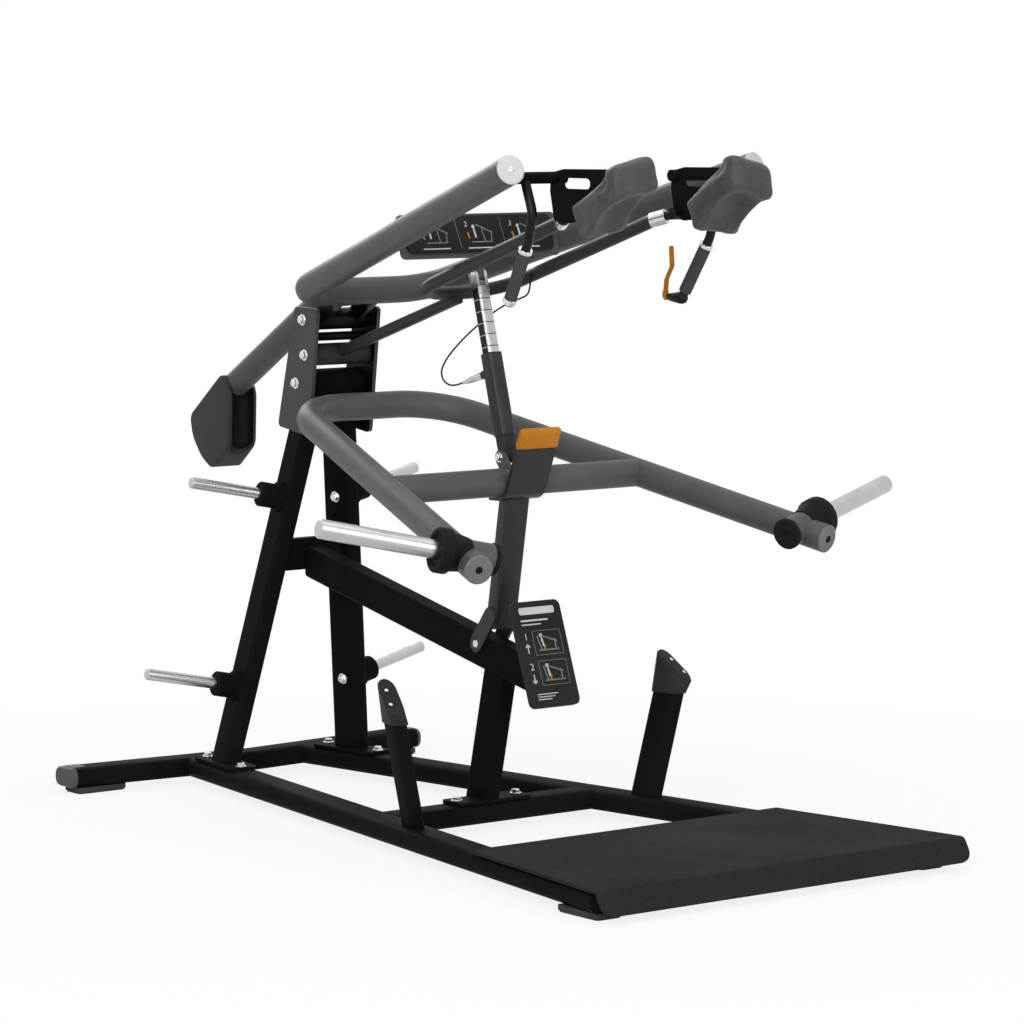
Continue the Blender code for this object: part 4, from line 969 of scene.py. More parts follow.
@dataclass
class Counterweight:
    """Rounded weight behind the tower, with an upright groove below its tube."""

    groove: ClassVar[Groove] = Groove(station=1.382, radius=0.037, foot=0.982, length=0.30)
    width: float = 0.100
    outline: tuple[tuple[float, float], ...] = (
        (1.418, 1.170), (1.588, 1.036), (1.574, 0.974), (1.530, 0.918), (1.474, 0.884), (1.384, 0.958),
        (1.378, 1.116))
    corner: float = 0.020
    rim: float = 0.007

    def build(self, shop: PaintShop) -> None:
        """Model the weight and cut its groove.

        Args:
            shop: Finishes of the machine.
        """
        block = self.block()
        reach = self.groove.radius
        arc = [(reach * math.cos(math.radians(turn)), reach * math.sin(math.radians(turn)))
               for turn in range(-75, 1, 15)]
        cutter = lathe("groove", [(0, -reach), *arc, (reach, self.groove.length), (0, self.groove.length)], 48)
        stand(cutter, at(0, self.groove.station, self.groove.foot), Vector((0, 0, 1)))
        apply_modifier(block, "BOOLEAN", operation="DIFFERENCE", solver="EXACT", object=cutter)
        bpy.data.objects.remove(cutter)
        tidy_shell(block)
        smooth(block, 35.0)
        dress(block, Body.PAD_ARM, shop.weight)
        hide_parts("counterweight")

    def block(self) -> bpy.types.Object:
        """Plate of the weight's outline, rounded at its corners and rims.

        Returns:
            The rounded plate.
        """
        clear_selection()
        bpy.ops.mesh.primitive_plane_add(size=0.001)
        piece = bpy.context.object
        piece.name = "counterweight_block"
        marks = [at(-self.width / 2, *point) for point in self.outline]
        with editing(piece):
            bpy.ops.mesh.select_all(action="SELECT")
            bpy.ops.mesh.merge(type="CENTER")
            bpy.ops.transform.translate(value=marks[0])
            for start, end in zip(marks, marks[1:]):
                bpy.ops.mesh.extrude_region_move(TRANSFORM_OT_translate={"value": end - start})
            bpy.ops.mesh.select_all(action="SELECT")
            bpy.ops.mesh.edge_face_add()
            bpy.ops.mesh.bevel(offset=self.corner, segments=6, affect="VERTICES")
            bpy.ops.mesh.select_all(action="SELECT")
            bpy.ops.mesh.extrude_region_move(TRANSFORM_OT_translate={"value": (self.width, 0, 0)})
        tidy_shell(piece)
        apply_modifier(piece, "BEVEL", width=self.rim, segments=4, limit_method="ANGLE", angle_limit=math.radians(50))
        return piece


@dataclass(frozen=True)
class RoundedPiece:
    """CAD node to round over, with its remesh size, its smoothing and the height that this starts at."""

    node: str
    body: Body
    voxel: float
    rounding: int
    foot: float = 0.0


@dataclass
class SoftMouldings:
    """Orange finger cap of the hook and orange release lever, with their corners well rounded."""

    pieces: tuple[RoundedPiece, ...] = (
        RoundedPiece("hook_cap", Body.HOOK, 0.0026, 34),
        RoundedPiece("release_lever", Body.RELEASE, 0.0008, 90, 1.458))
    inset: float = 0.0004

    def build(self, shop: PaintShop) -> None:
        """Round each moulding over and let it stand for its node.

        Args:
            shop: Finishes of the machine.
        """
        for part in self.pieces:
            piece = copy_of_node(part.node + "_moulding", part.node)
            apply_modifier(piece, "REMESH", mode="VOXEL", voxel_size=part.voxel)
            with editing(piece) as mesh:
                bpy.ops.mesh.select_all(action="DESELECT")
                for vertex in mesh.verts:
                    if vertex.co.z > part.foot:
                        vertex.select_set(True)
                bpy.ops.mesh.vertices_smooth(factor=0.5, repeat=part.rounding)
            apply_modifier(piece, "DISPLACE", strength=-self.inset, mid_level=0.0)
            smooth(piece, 60.0)
            dress(piece, part.body, shop.orange)
            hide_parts(part.node)


@dataclass
class DeckSheet:
    """Standing deck with a soft crease and rounded lower corners on its front lip."""

    corner: float = 0.034
    crease: float = 0.010
    lip: float = 0.02
    crease_reach: float = 0.05
    upright: float = 0.002
    level: float = 0.001

    def build(self, shop: PaintShop) -> None:
        """Round the deck's sheet and let it stand for its node.

        Args:
            shop: Finishes of the machine.
        """
        sheet = copy_of_node("deck_sheet", "deck")
        low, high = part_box("deck")
        front = low.y + self.lip
        with editing(sheet) as mesh:
            bpy.ops.mesh.select_all(action="SELECT")
            bpy.ops.mesh.dissolve_limited(angle_limit=0.01)
            bpy.ops.mesh.select_all(action="DESELECT")
            for edge in mesh.edges:
                ends = [vertex.co for vertex in edge.verts]
                same_side = ends[0].x * ends[1].x > 0 and abs(ends[0].x - ends[1].x) < self.upright
                if same_side and all(end.y < front and end.z < low.z + self.lip for end in ends):
                    edge.select_set(True)
            bpy.ops.mesh.bevel(offset=self.corner, segments=7, affect="EDGES")
            bpy.ops.mesh.select_all(action="DESELECT")
            for edge in mesh.edges:
                ends = [vertex.co for vertex in edge.verts]
                across = ends[0].x * ends[1].x < 0
                if across and all(end.z > high.z - self.level and end.y < low.y + self.crease_reach for end in ends):
                    edge.select_set(True)
            bpy.ops.mesh.bevel(offset=self.crease, segments=4, affect="EDGES")
        tidy_shell(sheet)
        smooth(sheet, 25.0)
        dress(sheet, Body.BASE, shop.deck)
        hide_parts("deck")


@dataclass
class RearCapBands:
    """Flat tongues of the rear end caps, which lie on top of the cross tube."""

    length: float = 0.040
    width: float = 0.050
    thickness: float = 0.0012
    corner: float = 0.004

    def build(self, shop: PaintShop) -> None:
        """Lay a tongue at each end of the tube.

        Args:
            shop: Finishes of the machine.
        """
        tongues = []
        for side in Side:
            low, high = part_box("rear_end_cap_" + side.label)
            edge = high.x if side is Side.LEFT else low.x
            place = Vector((edge - side.value * self.length / 2, (low.y + high.y) / 2, high.z))
            foot = surface("rear_cross_tube", place)[0]
            tongue = slab("tongue", self.length, self.width, self.thickness, self.corner)
            tongues.append(stand(tongue, foot, Vector((0, 0, 1))))
        dress(join("rear_cap_tongues", tongues), Body.BASE, shop.dark_cap)


@dataclass
class LinkTrim:
    """Bright collars on the fork's tips and the black knuckles that reach the carriages."""

    tip: Point = (0.155, -0.296, 1.652)
    eye: Point = (0.183, -0.344, 1.668)
    collar_radius: float = 0.0196
    chamfer: float = 0.0012
    collar: tuple[float, float] = (-0.012, 0.033)
    stub_radius: float = 0.012
    knuckle_radius: float = 0.016
    knuckle_x: tuple[float, float] = (0.170, 0.1952)

    def build(self, shop: PaintShop) -> None:
        """Fit a collar and a knuckle on each leg of the fork.

        Args:
            shop: Finishes of the machine.
        """
        start, end = self.collar
        rim = self.collar_radius
        inset = rim - self.chamfer
        ring = [(0, start), (inset, start), (rim, start + self.chamfer), (rim, end - self.chamfer), (inset, end),
                (0, end)]
        for side in Side:
            tip = on_side(at(*self.tip), side)
            eye = on_side(at(*self.eye), side)
            way = (eye - tip).normalized()
            collar = stand(lathe("fork_collar_" + side.label, ring, 40), tip, way)
            smooth(collar, 30.0)
            dress(collar, Body.LINK, shop.chrome)
            inner, outer = self.knuckle_x
            boss = [(0, 0), (self.knuckle_radius, 0), (self.knuckle_radius, outer - inner), (0, outer - inner)]
            reach = (eye - tip).length
            stub = [(0, end), (self.stub_radius, end), (self.stub_radius, reach), (0, reach)]
            across = Vector((side.value, 0, 0))
            knuckle = join("fork_knuckle_" + side.label, [
                stand(lathe("boss", boss, 32), Vector((side.value * inner, eye.y, eye.z)), across),
                stand(lathe("stub", stub, 24), tip, way)])
            smooth(knuckle, 30.0)
            dress(knuckle, Body.LINK, shop.gloss_black)
            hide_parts("rod_end_" + side.label)


@dataclass
class ReleaseCable:
    """Thin control cable that loops from the strut's barrel to the link fork's right leg."""

    diameter: float = 0.0048
    gland: Point = (0.0, 0.3248, 1.2000)
    lead_out: Point = (0.0, 0.3489, 1.1933)
    route: tuple[Point, ...] = (
        (0.001, 0.378, 1.190), (0.002, 0.403, 1.195), (0.003, 0.421, 1.208), (0.006, 0.427, 1.230),
        (0.012, 0.414, 1.258), (0.022, 0.391, 1.288), (0.034, 0.360, 1.320), (0.048, 0.327, 1.350),
        (0.063, 0.295, 1.378), (0.0765, 0.270, 1.397), (0.0885, 0.249, 1.411), (0.0995, 0.230, 1.4205),
        (0.1095, 0.213, 1.4285), (0.117, 0.201, 1.435), (0.1215, 0.194, 1.444), (0.1235, 0.191, 1.456),
        (0.1253, 0.1898, 1.470), (0.1267, 0.189, 1.484), (0.1276, 0.1886, 1.499),
    )

    def centre_line(self) -> list[Vector]:
        """Even points along a smooth curve through the route.

        Returns:
            Points from the gland to the far end.
        """
        marks = [at(*point) for point in (self.gland, self.lead_out, *self.route)]
        padded = [marks[0] * 2 - marks[1], *marks, marks[-1] * 2 - marks[-2]]
        dense = []
        for a, b, c, d in zip(padded, padded[1:], padded[2:], padded[3:]):
            for step in range(8):
                t = step / 8
                dense.append(0.5 * (2 * b + (c - a) * t + (2 * a - 5 * b + 4 * c - d) * t ** 2
                                    + (3 * b - a - 3 * c + d) * t ** 3))
        return [*dense, marks[-1]]

    def build(self, shop: PaintShop) -> None:
        """Args:
            shop: Finishes of the machine.
        """
        line = self.centre_line()
        curve = bpy.data.curves.new("release_cable_run", "CURVE")
        curve.dimensions = "3D"
        curve.bevel_depth = self.diameter / 2
        curve.bevel_resolution = 4
        curve.use_fill_caps = True
        spline = curve.splines.new("POLY")
        spline.points.add(len(line) - 1)
        for point, place in zip(spline.points, line):
            point.co = (*place, 1)
        cable = bpy.data.objects.new("release_cable_run", curve)
        bpy.context.collection.objects.link(cable)
        clear_selection()
        cable.select_set(True)
        bpy.context.view_layer.objects.active = cable
        bpy.ops.object.convert(target="MESH")
        cable = bpy.context.object
        tidy_shell(cable)
        smooth(cable, 50.0)
        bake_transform(cable, Body.SLEEVE.value, Body.ROD.value, line[0], line[-1])
        dress(cable, Body.SLEEVE, shop.rubber)
        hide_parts("release_cable")


@dataclass
class ShoulderPads:
    """Moulded foam pads under a tight skin, rounded and swollen by a cloth simulation."""

    voxel: float = 0.005
    inset: float = 0.004
    pressure: float = 4.0
    frames: int = 20
    reach: float = 0.005
    rounding: int = 6
    fill: float = 0.9
    lean: float = 0.22
    lean_from: float = -0.455
    lean_full: float = -0.530
    taper: float = 0.026

    def build(self, shop: PaintShop) -> None:
        """Form both pads.

        Args:
            shop: Finishes of the machine.
        """
        for side in Side:
            node = "shoulder_pad_" + side.label
            pad = copy_of_node("pad_cushion_" + side.label, node)
            apply_modifier(pad, "DISPLACE", strength=-self.inset, mid_level=0.0)
            apply_modifier(pad, "REMESH", mode="VOXEL", voxel_size=self.voxel)
            with editing(pad):
                bpy.ops.mesh.select_all(action="SELECT")
                bpy.ops.mesh.vertices_smooth(factor=0.5, repeat=self.rounding)
            self.swell(pad)
            self.slope(pad, side)
            apply_modifier(pad, "SUBSURF", levels=1, render_levels=1)
            smooth(pad, 80.0)
            dress(pad, carriage(side), shop.skin)
            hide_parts(node)

    def slope(self, pad: bpy.types.Object, side: Side) -> None:
        """Lean the pad's front like a shoulder, higher towards the neck.

        Args:
            pad: Pad to shape.
            side: Side of the machine.
        """
        low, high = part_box("shoulder_pad_" + side.label)
        middle = (low.x + high.x) / 2
        half = (high.x - low.x) / 2
        for vertex in pad.data.vertices:
            station = vertex.co.y - STATION_SHIFT
            share = min(1.0, max(0.0, (station - self.lean_from) / (self.lean_full - self.lean_from)))
            inwards = (middle - vertex.co.x) * side.value
            rise = (vertex.co.z - low.z) / (high.z - low.z)
            vertex.co.x += side.value * share * self.taper * max(0.0, inwards / half) * (rise - 0.5)
            vertex.co.z += share * self.lean * inwards

    def swell(self, pad: bpy.types.Object) -> None:
        """Blow the pad up under pressure, and hold each point within reach of its start.

        Args:
            pad: Pad to shape.
        """
        cloth = pad.modifiers.new("swell", "CLOTH")
        cloth.settings.use_pressure = True
        cloth.settings.uniform_pressure_force = self.pressure
        cloth.settings.effector_weights.gravity = 0.0
        cloth.point_cache.frame_start = 1
        cloth.point_cache.frame_end = self.frames
        starts = [vertex.co.copy() for vertex in pad.data.vertices]
        for number in range(1, self.frames + 1):
            bpy.context.scene.frame_set(number)
        shaped = pad.evaluated_get(bpy.context.evaluated_depsgraph_get())
        ends = [vertex.co.copy() for vertex in shaped.data.vertices]
        pad.modifiers.remove(cloth)
        bpy.context.scene.frame_set(1)
        for vertex, start, end in zip(pad.data.vertices, starts, ends):
            move = end - start
            vertex.co = start + move * min(1.0, self.reach / max(move.length, 1e-9))


@dataclass
class Fastenings:
    """Plated bolts, pins and screws at the machine's joints."""

    washer_radius: float = 0.0160
    washer: float = 0.0026
    head_radius: float = 0.0118
    head: float = 0.0085
    medium: float = 0.85
    small: float = 0.72
    lever_pivots: tuple[tuple[float, float], ...] = ((0.920, 1.347), (0.911, 1.249), (0.955, 1.168))
    strut_foot: tuple[float, float] = (0.124, 1.013)
    strut_head: tuple[float, float] = (0.258, 1.494)
    hook_pivot: tuple[float, float] = (0.215, 0.505)
    pad_arm_run: Point = (0.187, -1.191, 0.358)
    leg_outward: Point = (0.9694, 0.1551, 0.1903)
    leg_bolts: tuple[Point, ...] = ((0.1846, 1.1157, 0.297), (0.0935, 1.0209, 0.838))
    leg_inset: float = 0.06
    foot_bolts: tuple[tuple[float, float], ...] = ((0.212, 1.258), (0.239, 1.050))
    post_bolt: tuple[float, float] = (0.100, 0.222)
    foot_height: float = 0.10

    def bolt(self, scale: float = 1.0) -> bpy.types.Object:
        """Hexagon head on a washer, its foot at the origin.

        Args:
            scale: Scale of the result.

        Returns:
            The bolt, at the origin.
        """
        washer = lathe("washer", [(radius * scale, height * scale) for radius, height in (
            (0, 0), (self.washer_radius, 0), (self.washer_radius, self.washer * 0.7),
            (self.washer_radius - 0.0008, self.washer), (0, self.washer))], 28)
        head = lathe("head", [(radius * scale, height * scale) for radius, height in (
            (0, self.washer), (self.head_radius, self.washer), (self.head_radius, self.washer + self.head * 0.8),
            (self.head_radius * 0.88, self.washer + self.head), (0, self.washer + self.head))], 6)
        return join("bolt", [washer, head])

    def screw(self, radius: float, height: float) -> bpy.types.Object:
        """Button head with a socket, its foot at the origin.

        Args:
            radius: Radius in metres.
            height: Height in metres, or the relief's socket.

        Returns:
            The screw, at the origin.
        """
        socket = radius * 0.42
        profile = [(0, 0), (radius, 0), (radius * 0.96, height * 0.45), (radius * 0.75, height * 0.85),
                   (radius * 0.52, height), (socket, height), (socket, height * 0.35), (0, height * 0.35)]
        return lathe("screw", profile, 24)

    def add(self, name: str, pattern: bpy.types.Object, places: Sequence[Place], body: Body,
            shop: PaintShop) -> None:
        """Stamp a pattern at places and dress the result.

        Args:
            name: Name to give.
            pattern: Piece modelled at the origin along +Z.
            places: (foot, axis) pairs.
            body: Body that carries the piece.
            shop: Finishes of the machine.
        """
        piece = stamp(name, pattern, places)
        smooth(piece, 28.0)
        dress(piece, body, shop.chrome)

    def build(self, shop: PaintShop) -> None:
        """Fit every fastener.

        Args:
            shop: Finishes of the machine.
        """
        sides = tuple(Side)
        across = [(side, Vector((side.value, 0, 0))) for side in sides]
        plates = [surface("side_plate_" + side.label, at(side.value * 0.2, y, z))[0]
                  for side in sides for y, z in self.lever_pivots]
        self.add("lever_bolts", self.bolt(), [(place, Vector((math.copysign(1, place.x), 0, 0))) for place in plates],
                 Body.LEVER, shop)
        ears = [(surface("load_crossbar", at(side.value * 0.06, *self.strut_foot))[0], axis)
                for side, axis in across]
        self.add("strut_foot_bolts", self.bolt(self.medium), ears, Body.LEVER, shop)
        heads = [(surface("strut_rod", at(side.value * 0.05, *self.strut_head))[0], axis) for side, axis in across]
        self.add("strut_head_bolts", self.bolt(self.small), heads, Body.ROD, shop)
        self.add("frame_bolts", self.bolt(), self.frame_places(), Body.BASE, shop)
        hook = [(surface("diagonal_brace", at(side.value * 0.08, *self.hook_pivot))[0], axis)
                for side, axis in across]
        self.add("hook_pivot_bolts", self.bolt(), hook, Body.BASE, shop)
        tips = []
        for side in sides:
            run = on_side(Vector(self.pad_arm_run), side)
            tips.append(end_face("upper_arm_cap_" + side.label, run))
        self.add("pad_arm_cap_screws", self.screw(0.0075, 0.0035), tips, Body.PAD_ARM, shop)

    def frame_places(self) -> list[Place]:
        """Feet and axes of the bolts that hold the tower and the front post.

        Returns:
            (foot, axis) pairs.
        """
        places = []
        up = Vector((0, 0, 1))
        for side in Side:
            outward = on_side(Vector(self.leg_outward), side)
            for centre in self.leg_bolts:
                inner = on_side(at(*centre), side) - outward * self.leg_inset
                places.append((surface("tower_leg_" + side.label, inner)[0], -outward))
            for x, y in self.foot_bolts:
                places.append((surface("tower_leg_" + side.label, at(side.value * x, y, self.foot_height))[0], up))
            x, y = self.post_bolt
            places.append((surface("front_post", at(side.value * x, y, self.foot_height))[0], up))
        return places


@dataclass
class LoadArmTrim:
    """Round inner caps of the load horns' bosses and the screws of the load arm's end caps."""

    root: Point = (0.558, -0.4264, 0.8376)
    axis: Point = (0.9503, 0.2337, 0.2056)
    boss_end: float = 0.0663
    radius: float = 0.0415
    depth: float = 0.013
    socket: float = 0.009
    arm_run: Point = (0.187, -1.0, -0.12)

    def build(self, shop: PaintShop) -> None:
        """Fit the caps and the screws.

        Args:
            shop: Finishes of the machine.
        """
        profile = [(0, 0), (self.radius - 0.0015, 0), (self.radius, 0.0015), (self.radius, self.depth - 0.003),
                   (self.radius - 0.003, self.depth), (self.socket + 0.003, self.depth),
                   (self.socket, self.depth - 0.001), (self.socket, self.depth - 0.007), (0, self.depth - 0.007)]
        caps = []
        screws = []
        for side in Side:
            axis = on_side(Vector(self.axis).normalized(), side)
            caps.append((on_side(at(*self.root), side) - axis * self.boss_end, -axis))
            run = on_side(Vector(self.arm_run), side)
            screws.append(end_face("load_arm_cap_" + side.label, run))
        piece = stamp("horn_boss_caps", lathe("cap", profile, 48), caps)
        smooth(piece, 30.0)
        dress(piece, Body.LEVER, shop.rubber)
        eyes = stamp("load_arm_cap_screws", Fastenings().screw(0.0095, 0.003), screws)
        smooth(eyes, 30.0)
        dress(eyes, Body.LEVER, shop.rubber)


@dataclass
class HandleTrim:
    """Bright rings above the grips, bright tip of the left handle and black elbow of the right one."""

    ring_at: Point = (0.301, -0.343, 1.601)
    tip_at: Point = (0.288, -0.248, 1.443)
    inner: float = 0.0125
    outer: float = 0.0185
    height: float = 0.011
    tip: float = 0.016
    elbow: tuple[tuple[float, float], ...] = (
        (0, -0.0150), (0.0100, -0.0130), (0.0152, -0.0070), (0.0164, 0.0), (0.0158, 0.012), (0.0130, 0.030),
        (0.0112, 0.044), (0.0096, 0.0480), (0, 0.0480))

    def build(self, shop: PaintShop) -> None:
        """Fit the rings and the tip.

        Args:
            shop: Finishes of the machine.
        """
        half = self.height / 2
        ring = [(self.inner, -half), (self.outer - 0.001, -half), (self.outer, -half + 0.0015),
                (self.outer, half - 0.0015), (self.outer - 0.001, half), (self.inner, half), (self.inner, -half)]
        for side in Side:
            down = on_side(at(*self.tip_at) - at(*self.ring_at), side).normalized()
            top = end_face("grip_" + side.label, -down)[0]
            pieces = [stand(lathe("ring", ring, 32), top - down * half * 1.1, down)]
            if side is Side.LEFT:
                cap = [(0, 0), (self.outer - 0.001, 0), (self.outer, 0.001), (self.outer, self.tip - 0.003),
                       (self.outer - 0.003, self.tip), (0, self.tip)]
                pieces.append(stand(lathe("tip", cap, 32), end_face("grip_left", down)[0] + down * 0.0004, down))
            trim = join("handle_trim_" + side.label, pieces)
            smooth(trim, 30.0)
            dress(trim, carriage(side), shop.chrome)
        self.add_elbow(shop)

    def add_elbow(self, shop: PaintShop) -> None:
        """Moulded elbow between the right handle's tip and the release lever.

        Args:
            shop: Finishes of the machine.
        """
        elbow = stand(lathe("handle_elbow", self.elbow, 40), at(*self.tip_at), Vector((0, 1, 0)))
        smooth(elbow, 40.0)
        dress(elbow, Body.CARRIAGE_RIGHT, shop.gloss_black)


@dataclass
class StrutTrim:
    """Dark position marks across the strut's bright rod and the bright barrel of the release cable."""

    foot: tuple[float, float] = (0.124, 1.013)
    axis: tuple[float, float] = (0.2684, 0.9633)
    size: float = 0.0374
    stroke: float = 0.0022
    first: float = 0.300
    pitch: float = 0.0325
    count: int = 5
    rod: float = 0.037
    rack: float = 0.024
    mark_corner: float = 0.008
    strip: float = 0.00025
    strip_sunk: float = 0.0001
    strip_gap: float = 0.004
    strip_corner: float = 0.002
    barrel_at: Point = (0.0, 0.2090, 1.2323)
    barrel: tuple[tuple[float, float], ...] = (
        (0.0083, 0.026), (0.0112, 0.026), (0.0118, 0.027), (0.0118, 0.036), (0.0104, 0.038), (0.0104, 0.080),
        (0.0062, 0.108), (0.0062, 0.116), (0.0049, 0.116), (0.0049, 0.092), (0.0083, 0.086), (0.0083, 0.026))

    def build(self, shop: PaintShop) -> None:
        """Fit the marks and the barrel.

        Args:
            shop: Finishes of the machine.
        """
        barrel = lathe("cable_barrel", self.barrel, 32)
        stand(barrel, at(*self.barrel_at), Vector((0, self.axis[1], -self.axis[0])))
        smooth(barrel, 30.0)
        dress(barrel, Body.SLEEVE, shop.chrome)
        self.mark_rod(shop)

    def mark_rod(self, shop: PaintShop) -> None:
        """Wrap the marks round the rod.

        Args:
            shop: Finishes of the machine.
        """
        up = Vector((0, *self.axis))
        marks = []
        for index in range(self.count):
            mark = slab("mark", self.size, self.size, self.stroke, self.mark_corner)
            along = self.first + index * self.pitch
            marks.append(stand(mark, at(0, self.foot[0], self.foot[1]) + up * along, up))
        piece = join("rod_marks", marks)
        dress(piece, Body.ROD, shop.rubber)
        self.add_racks(shop)

    def add_racks(self, shop: PaintShop) -> None:
        """Dark notched strips on the rod's two sides.

        Args:
            shop: Finishes of the machine.
        """
        up = Vector((0, *self.axis))
        strips = []
        for side in Side:
            across = Vector((side.value, 0, 0))
            face = side.value * (self.rod / 2 - self.strip_sunk)
            for index in range(self.count + 1):
                along = self.first - self.pitch / 2 + index * self.pitch
                strip = slab("strip", self.rack, self.pitch - self.strip_gap, self.strip, self.strip_corner)
                grid = Matrix((up.cross(across), up, across)).transposed().to_4x4()
                middle = at(0, self.foot[0], self.foot[1]) + up * along + Vector((face, 0, 0))
                strip.data.transform(Matrix.Translation(middle) @ grid)
                strips.append(strip)
        dress(join("rod_racks", strips), Body.ROD, shop.gloss_black)


@dataclass
class StopTrim:
    """Screws in the sloped faces of the bump caps, each on a dark disc that paints the shade of its recess."""

    holes: tuple[Point, ...] = ((0.483, 0.012, 0.45), (0.497, -0.027, 0.42))
    radius: float = 0.0105

    def build(self, shop: PaintShop) -> None:
        """Set the dark shade discs and the screws in both caps.

        Args:
            shop: Finishes of the machine.
        """
        # Painted shade: a thin gloss-black disc with a low rim stands for the shade inside each screw's recess.
        cup = [(0, 0.0003), (self.radius * 0.8, 0.0003), (self.radius * 0.86, 0.0012), (self.radius, 0.0012),
               (self.radius * 1.08, 0.0), (0, -0.0005)]
        places = []
        for side in Side:
            for hole in self.holes:
                places.append(surface("bump_cap_" + side.label, on_side(at(*hole), side)))
        recess_shades = stamp("stop_cups", lathe("cup", cup, 28), places)
        smooth(recess_shades, 30.0)
        dress(recess_shades, Body.BASE, shop.gloss_black)
        screws = stamp("stop_screws", Fastenings().screw(self.radius * 0.55, 0.0016), places)
        smooth(screws, 30.0)
        dress(screws, Body.BASE, shop.chrome)


@dataclass
class PrintSheet:
    """Flat print laid out on a placard's face, in its own X and Y."""

    origin: Vector
    up: Vector
    facing: Vector
    thickness: float = 0.0005

    def placed(self, piece: bpy.types.Object, x: float, y: float, turn: float = 0.0,
               lift: float = 0.0) -> bpy.types.Object:
        """Move a flat piece to its place on the face.

        Args:
            piece: Mesh object to work on.
            x: Place across the sheet.
            y: Place up the sheet.
            turn: Turn in radians.
            lift: Height above the face.

        Returns:
            The same piece.
        """
        right = self.up.cross(self.facing)
        grid = Matrix((right, self.up, self.facing)).transposed().to_4x4()
        flat = Matrix.Translation((x, y, lift)) @ Matrix.Rotation(turn, 4, "Z")
        piece.data.transform(Matrix.Translation(self.origin) @ grid @ flat)
        return piece

    def bar(self, x: float, y: float, width: float, height: float, turn: float = 0.0) -> bpy.types.Object:
        """Bar with softened corners about a middle."""
        corner = min(width, height) * 0.3
        return self.placed(slab("bar", width, height, self.thickness, corner), x, y, turn)

    def disc(self, x: float, y: float, radius: float) -> bpy.types.Object:
        """Round dot about a middle."""
        profile = [(0, 0), (radius, 0), (radius, self.thickness), (0, self.thickness)]
        return self.placed(lathe("disc", profile, 24), x, y)

    def frame_of(self, x: float, y: float, width: float, height: float, stroke: float) -> Pieces:
        """Four strokes round a panel."""
        return [self.bar(x, y + height / 2, width, stroke), self.bar(x, y - height / 2, width, stroke),
                self.bar(x - width / 2, y, stroke, height), self.bar(x + width / 2, y, stroke, height)]

    def arrow(self, x: float, y: float, size: float, turn: float) -> Pieces:
        """Arrow of three strokes that points along a turn from +Y.

        Args:
            x: Place across the sheet.
            y: Place up the sheet.
            size: Size in metres.
            turn: Turn in radians.

        Returns:
            The strokes.
        """
        way = Vector((-math.sin(turn), math.cos(turn)))
        tip = Vector((x, y)) + way * size / 2
        barbs = []
        for lean in (-1, 1):
            spread = Vector((-math.sin(turn + lean * 2.5), math.cos(turn + lean * 2.5))) * size * 0.2
            barbs.append(self.bar(tip.x + spread.x, tip.y + spread.y, size * 0.12, size * 0.5,
                                  turn + lean * 2.5 - math.pi))
        return [self.bar(x, y, size * 0.12, size, turn), *barbs]

    def figure(self, text: str, x: float, y: float, size: float) -> bpy.types.Object:
        """Plain number about a middle.

        Args:
            text: Figure to write.
            x: Place across the sheet.
            y: Place up the sheet.
            size: Size in metres.

        Returns:
            The number.
        """
        clear_selection()
        bpy.ops.object.text_add()
        piece = bpy.context.object
        piece.data.body = text
        piece.data.size = size
        piece.data.align_x = "CENTER"
        piece.data.align_y = "CENTER"
        piece.data.extrude = self.thickness / 2
        bpy.ops.object.convert(target="MESH")
        piece = bpy.context.object
        tidy_shell(piece)
        return self.placed(piece, x, y, lift=self.thickness / 2)


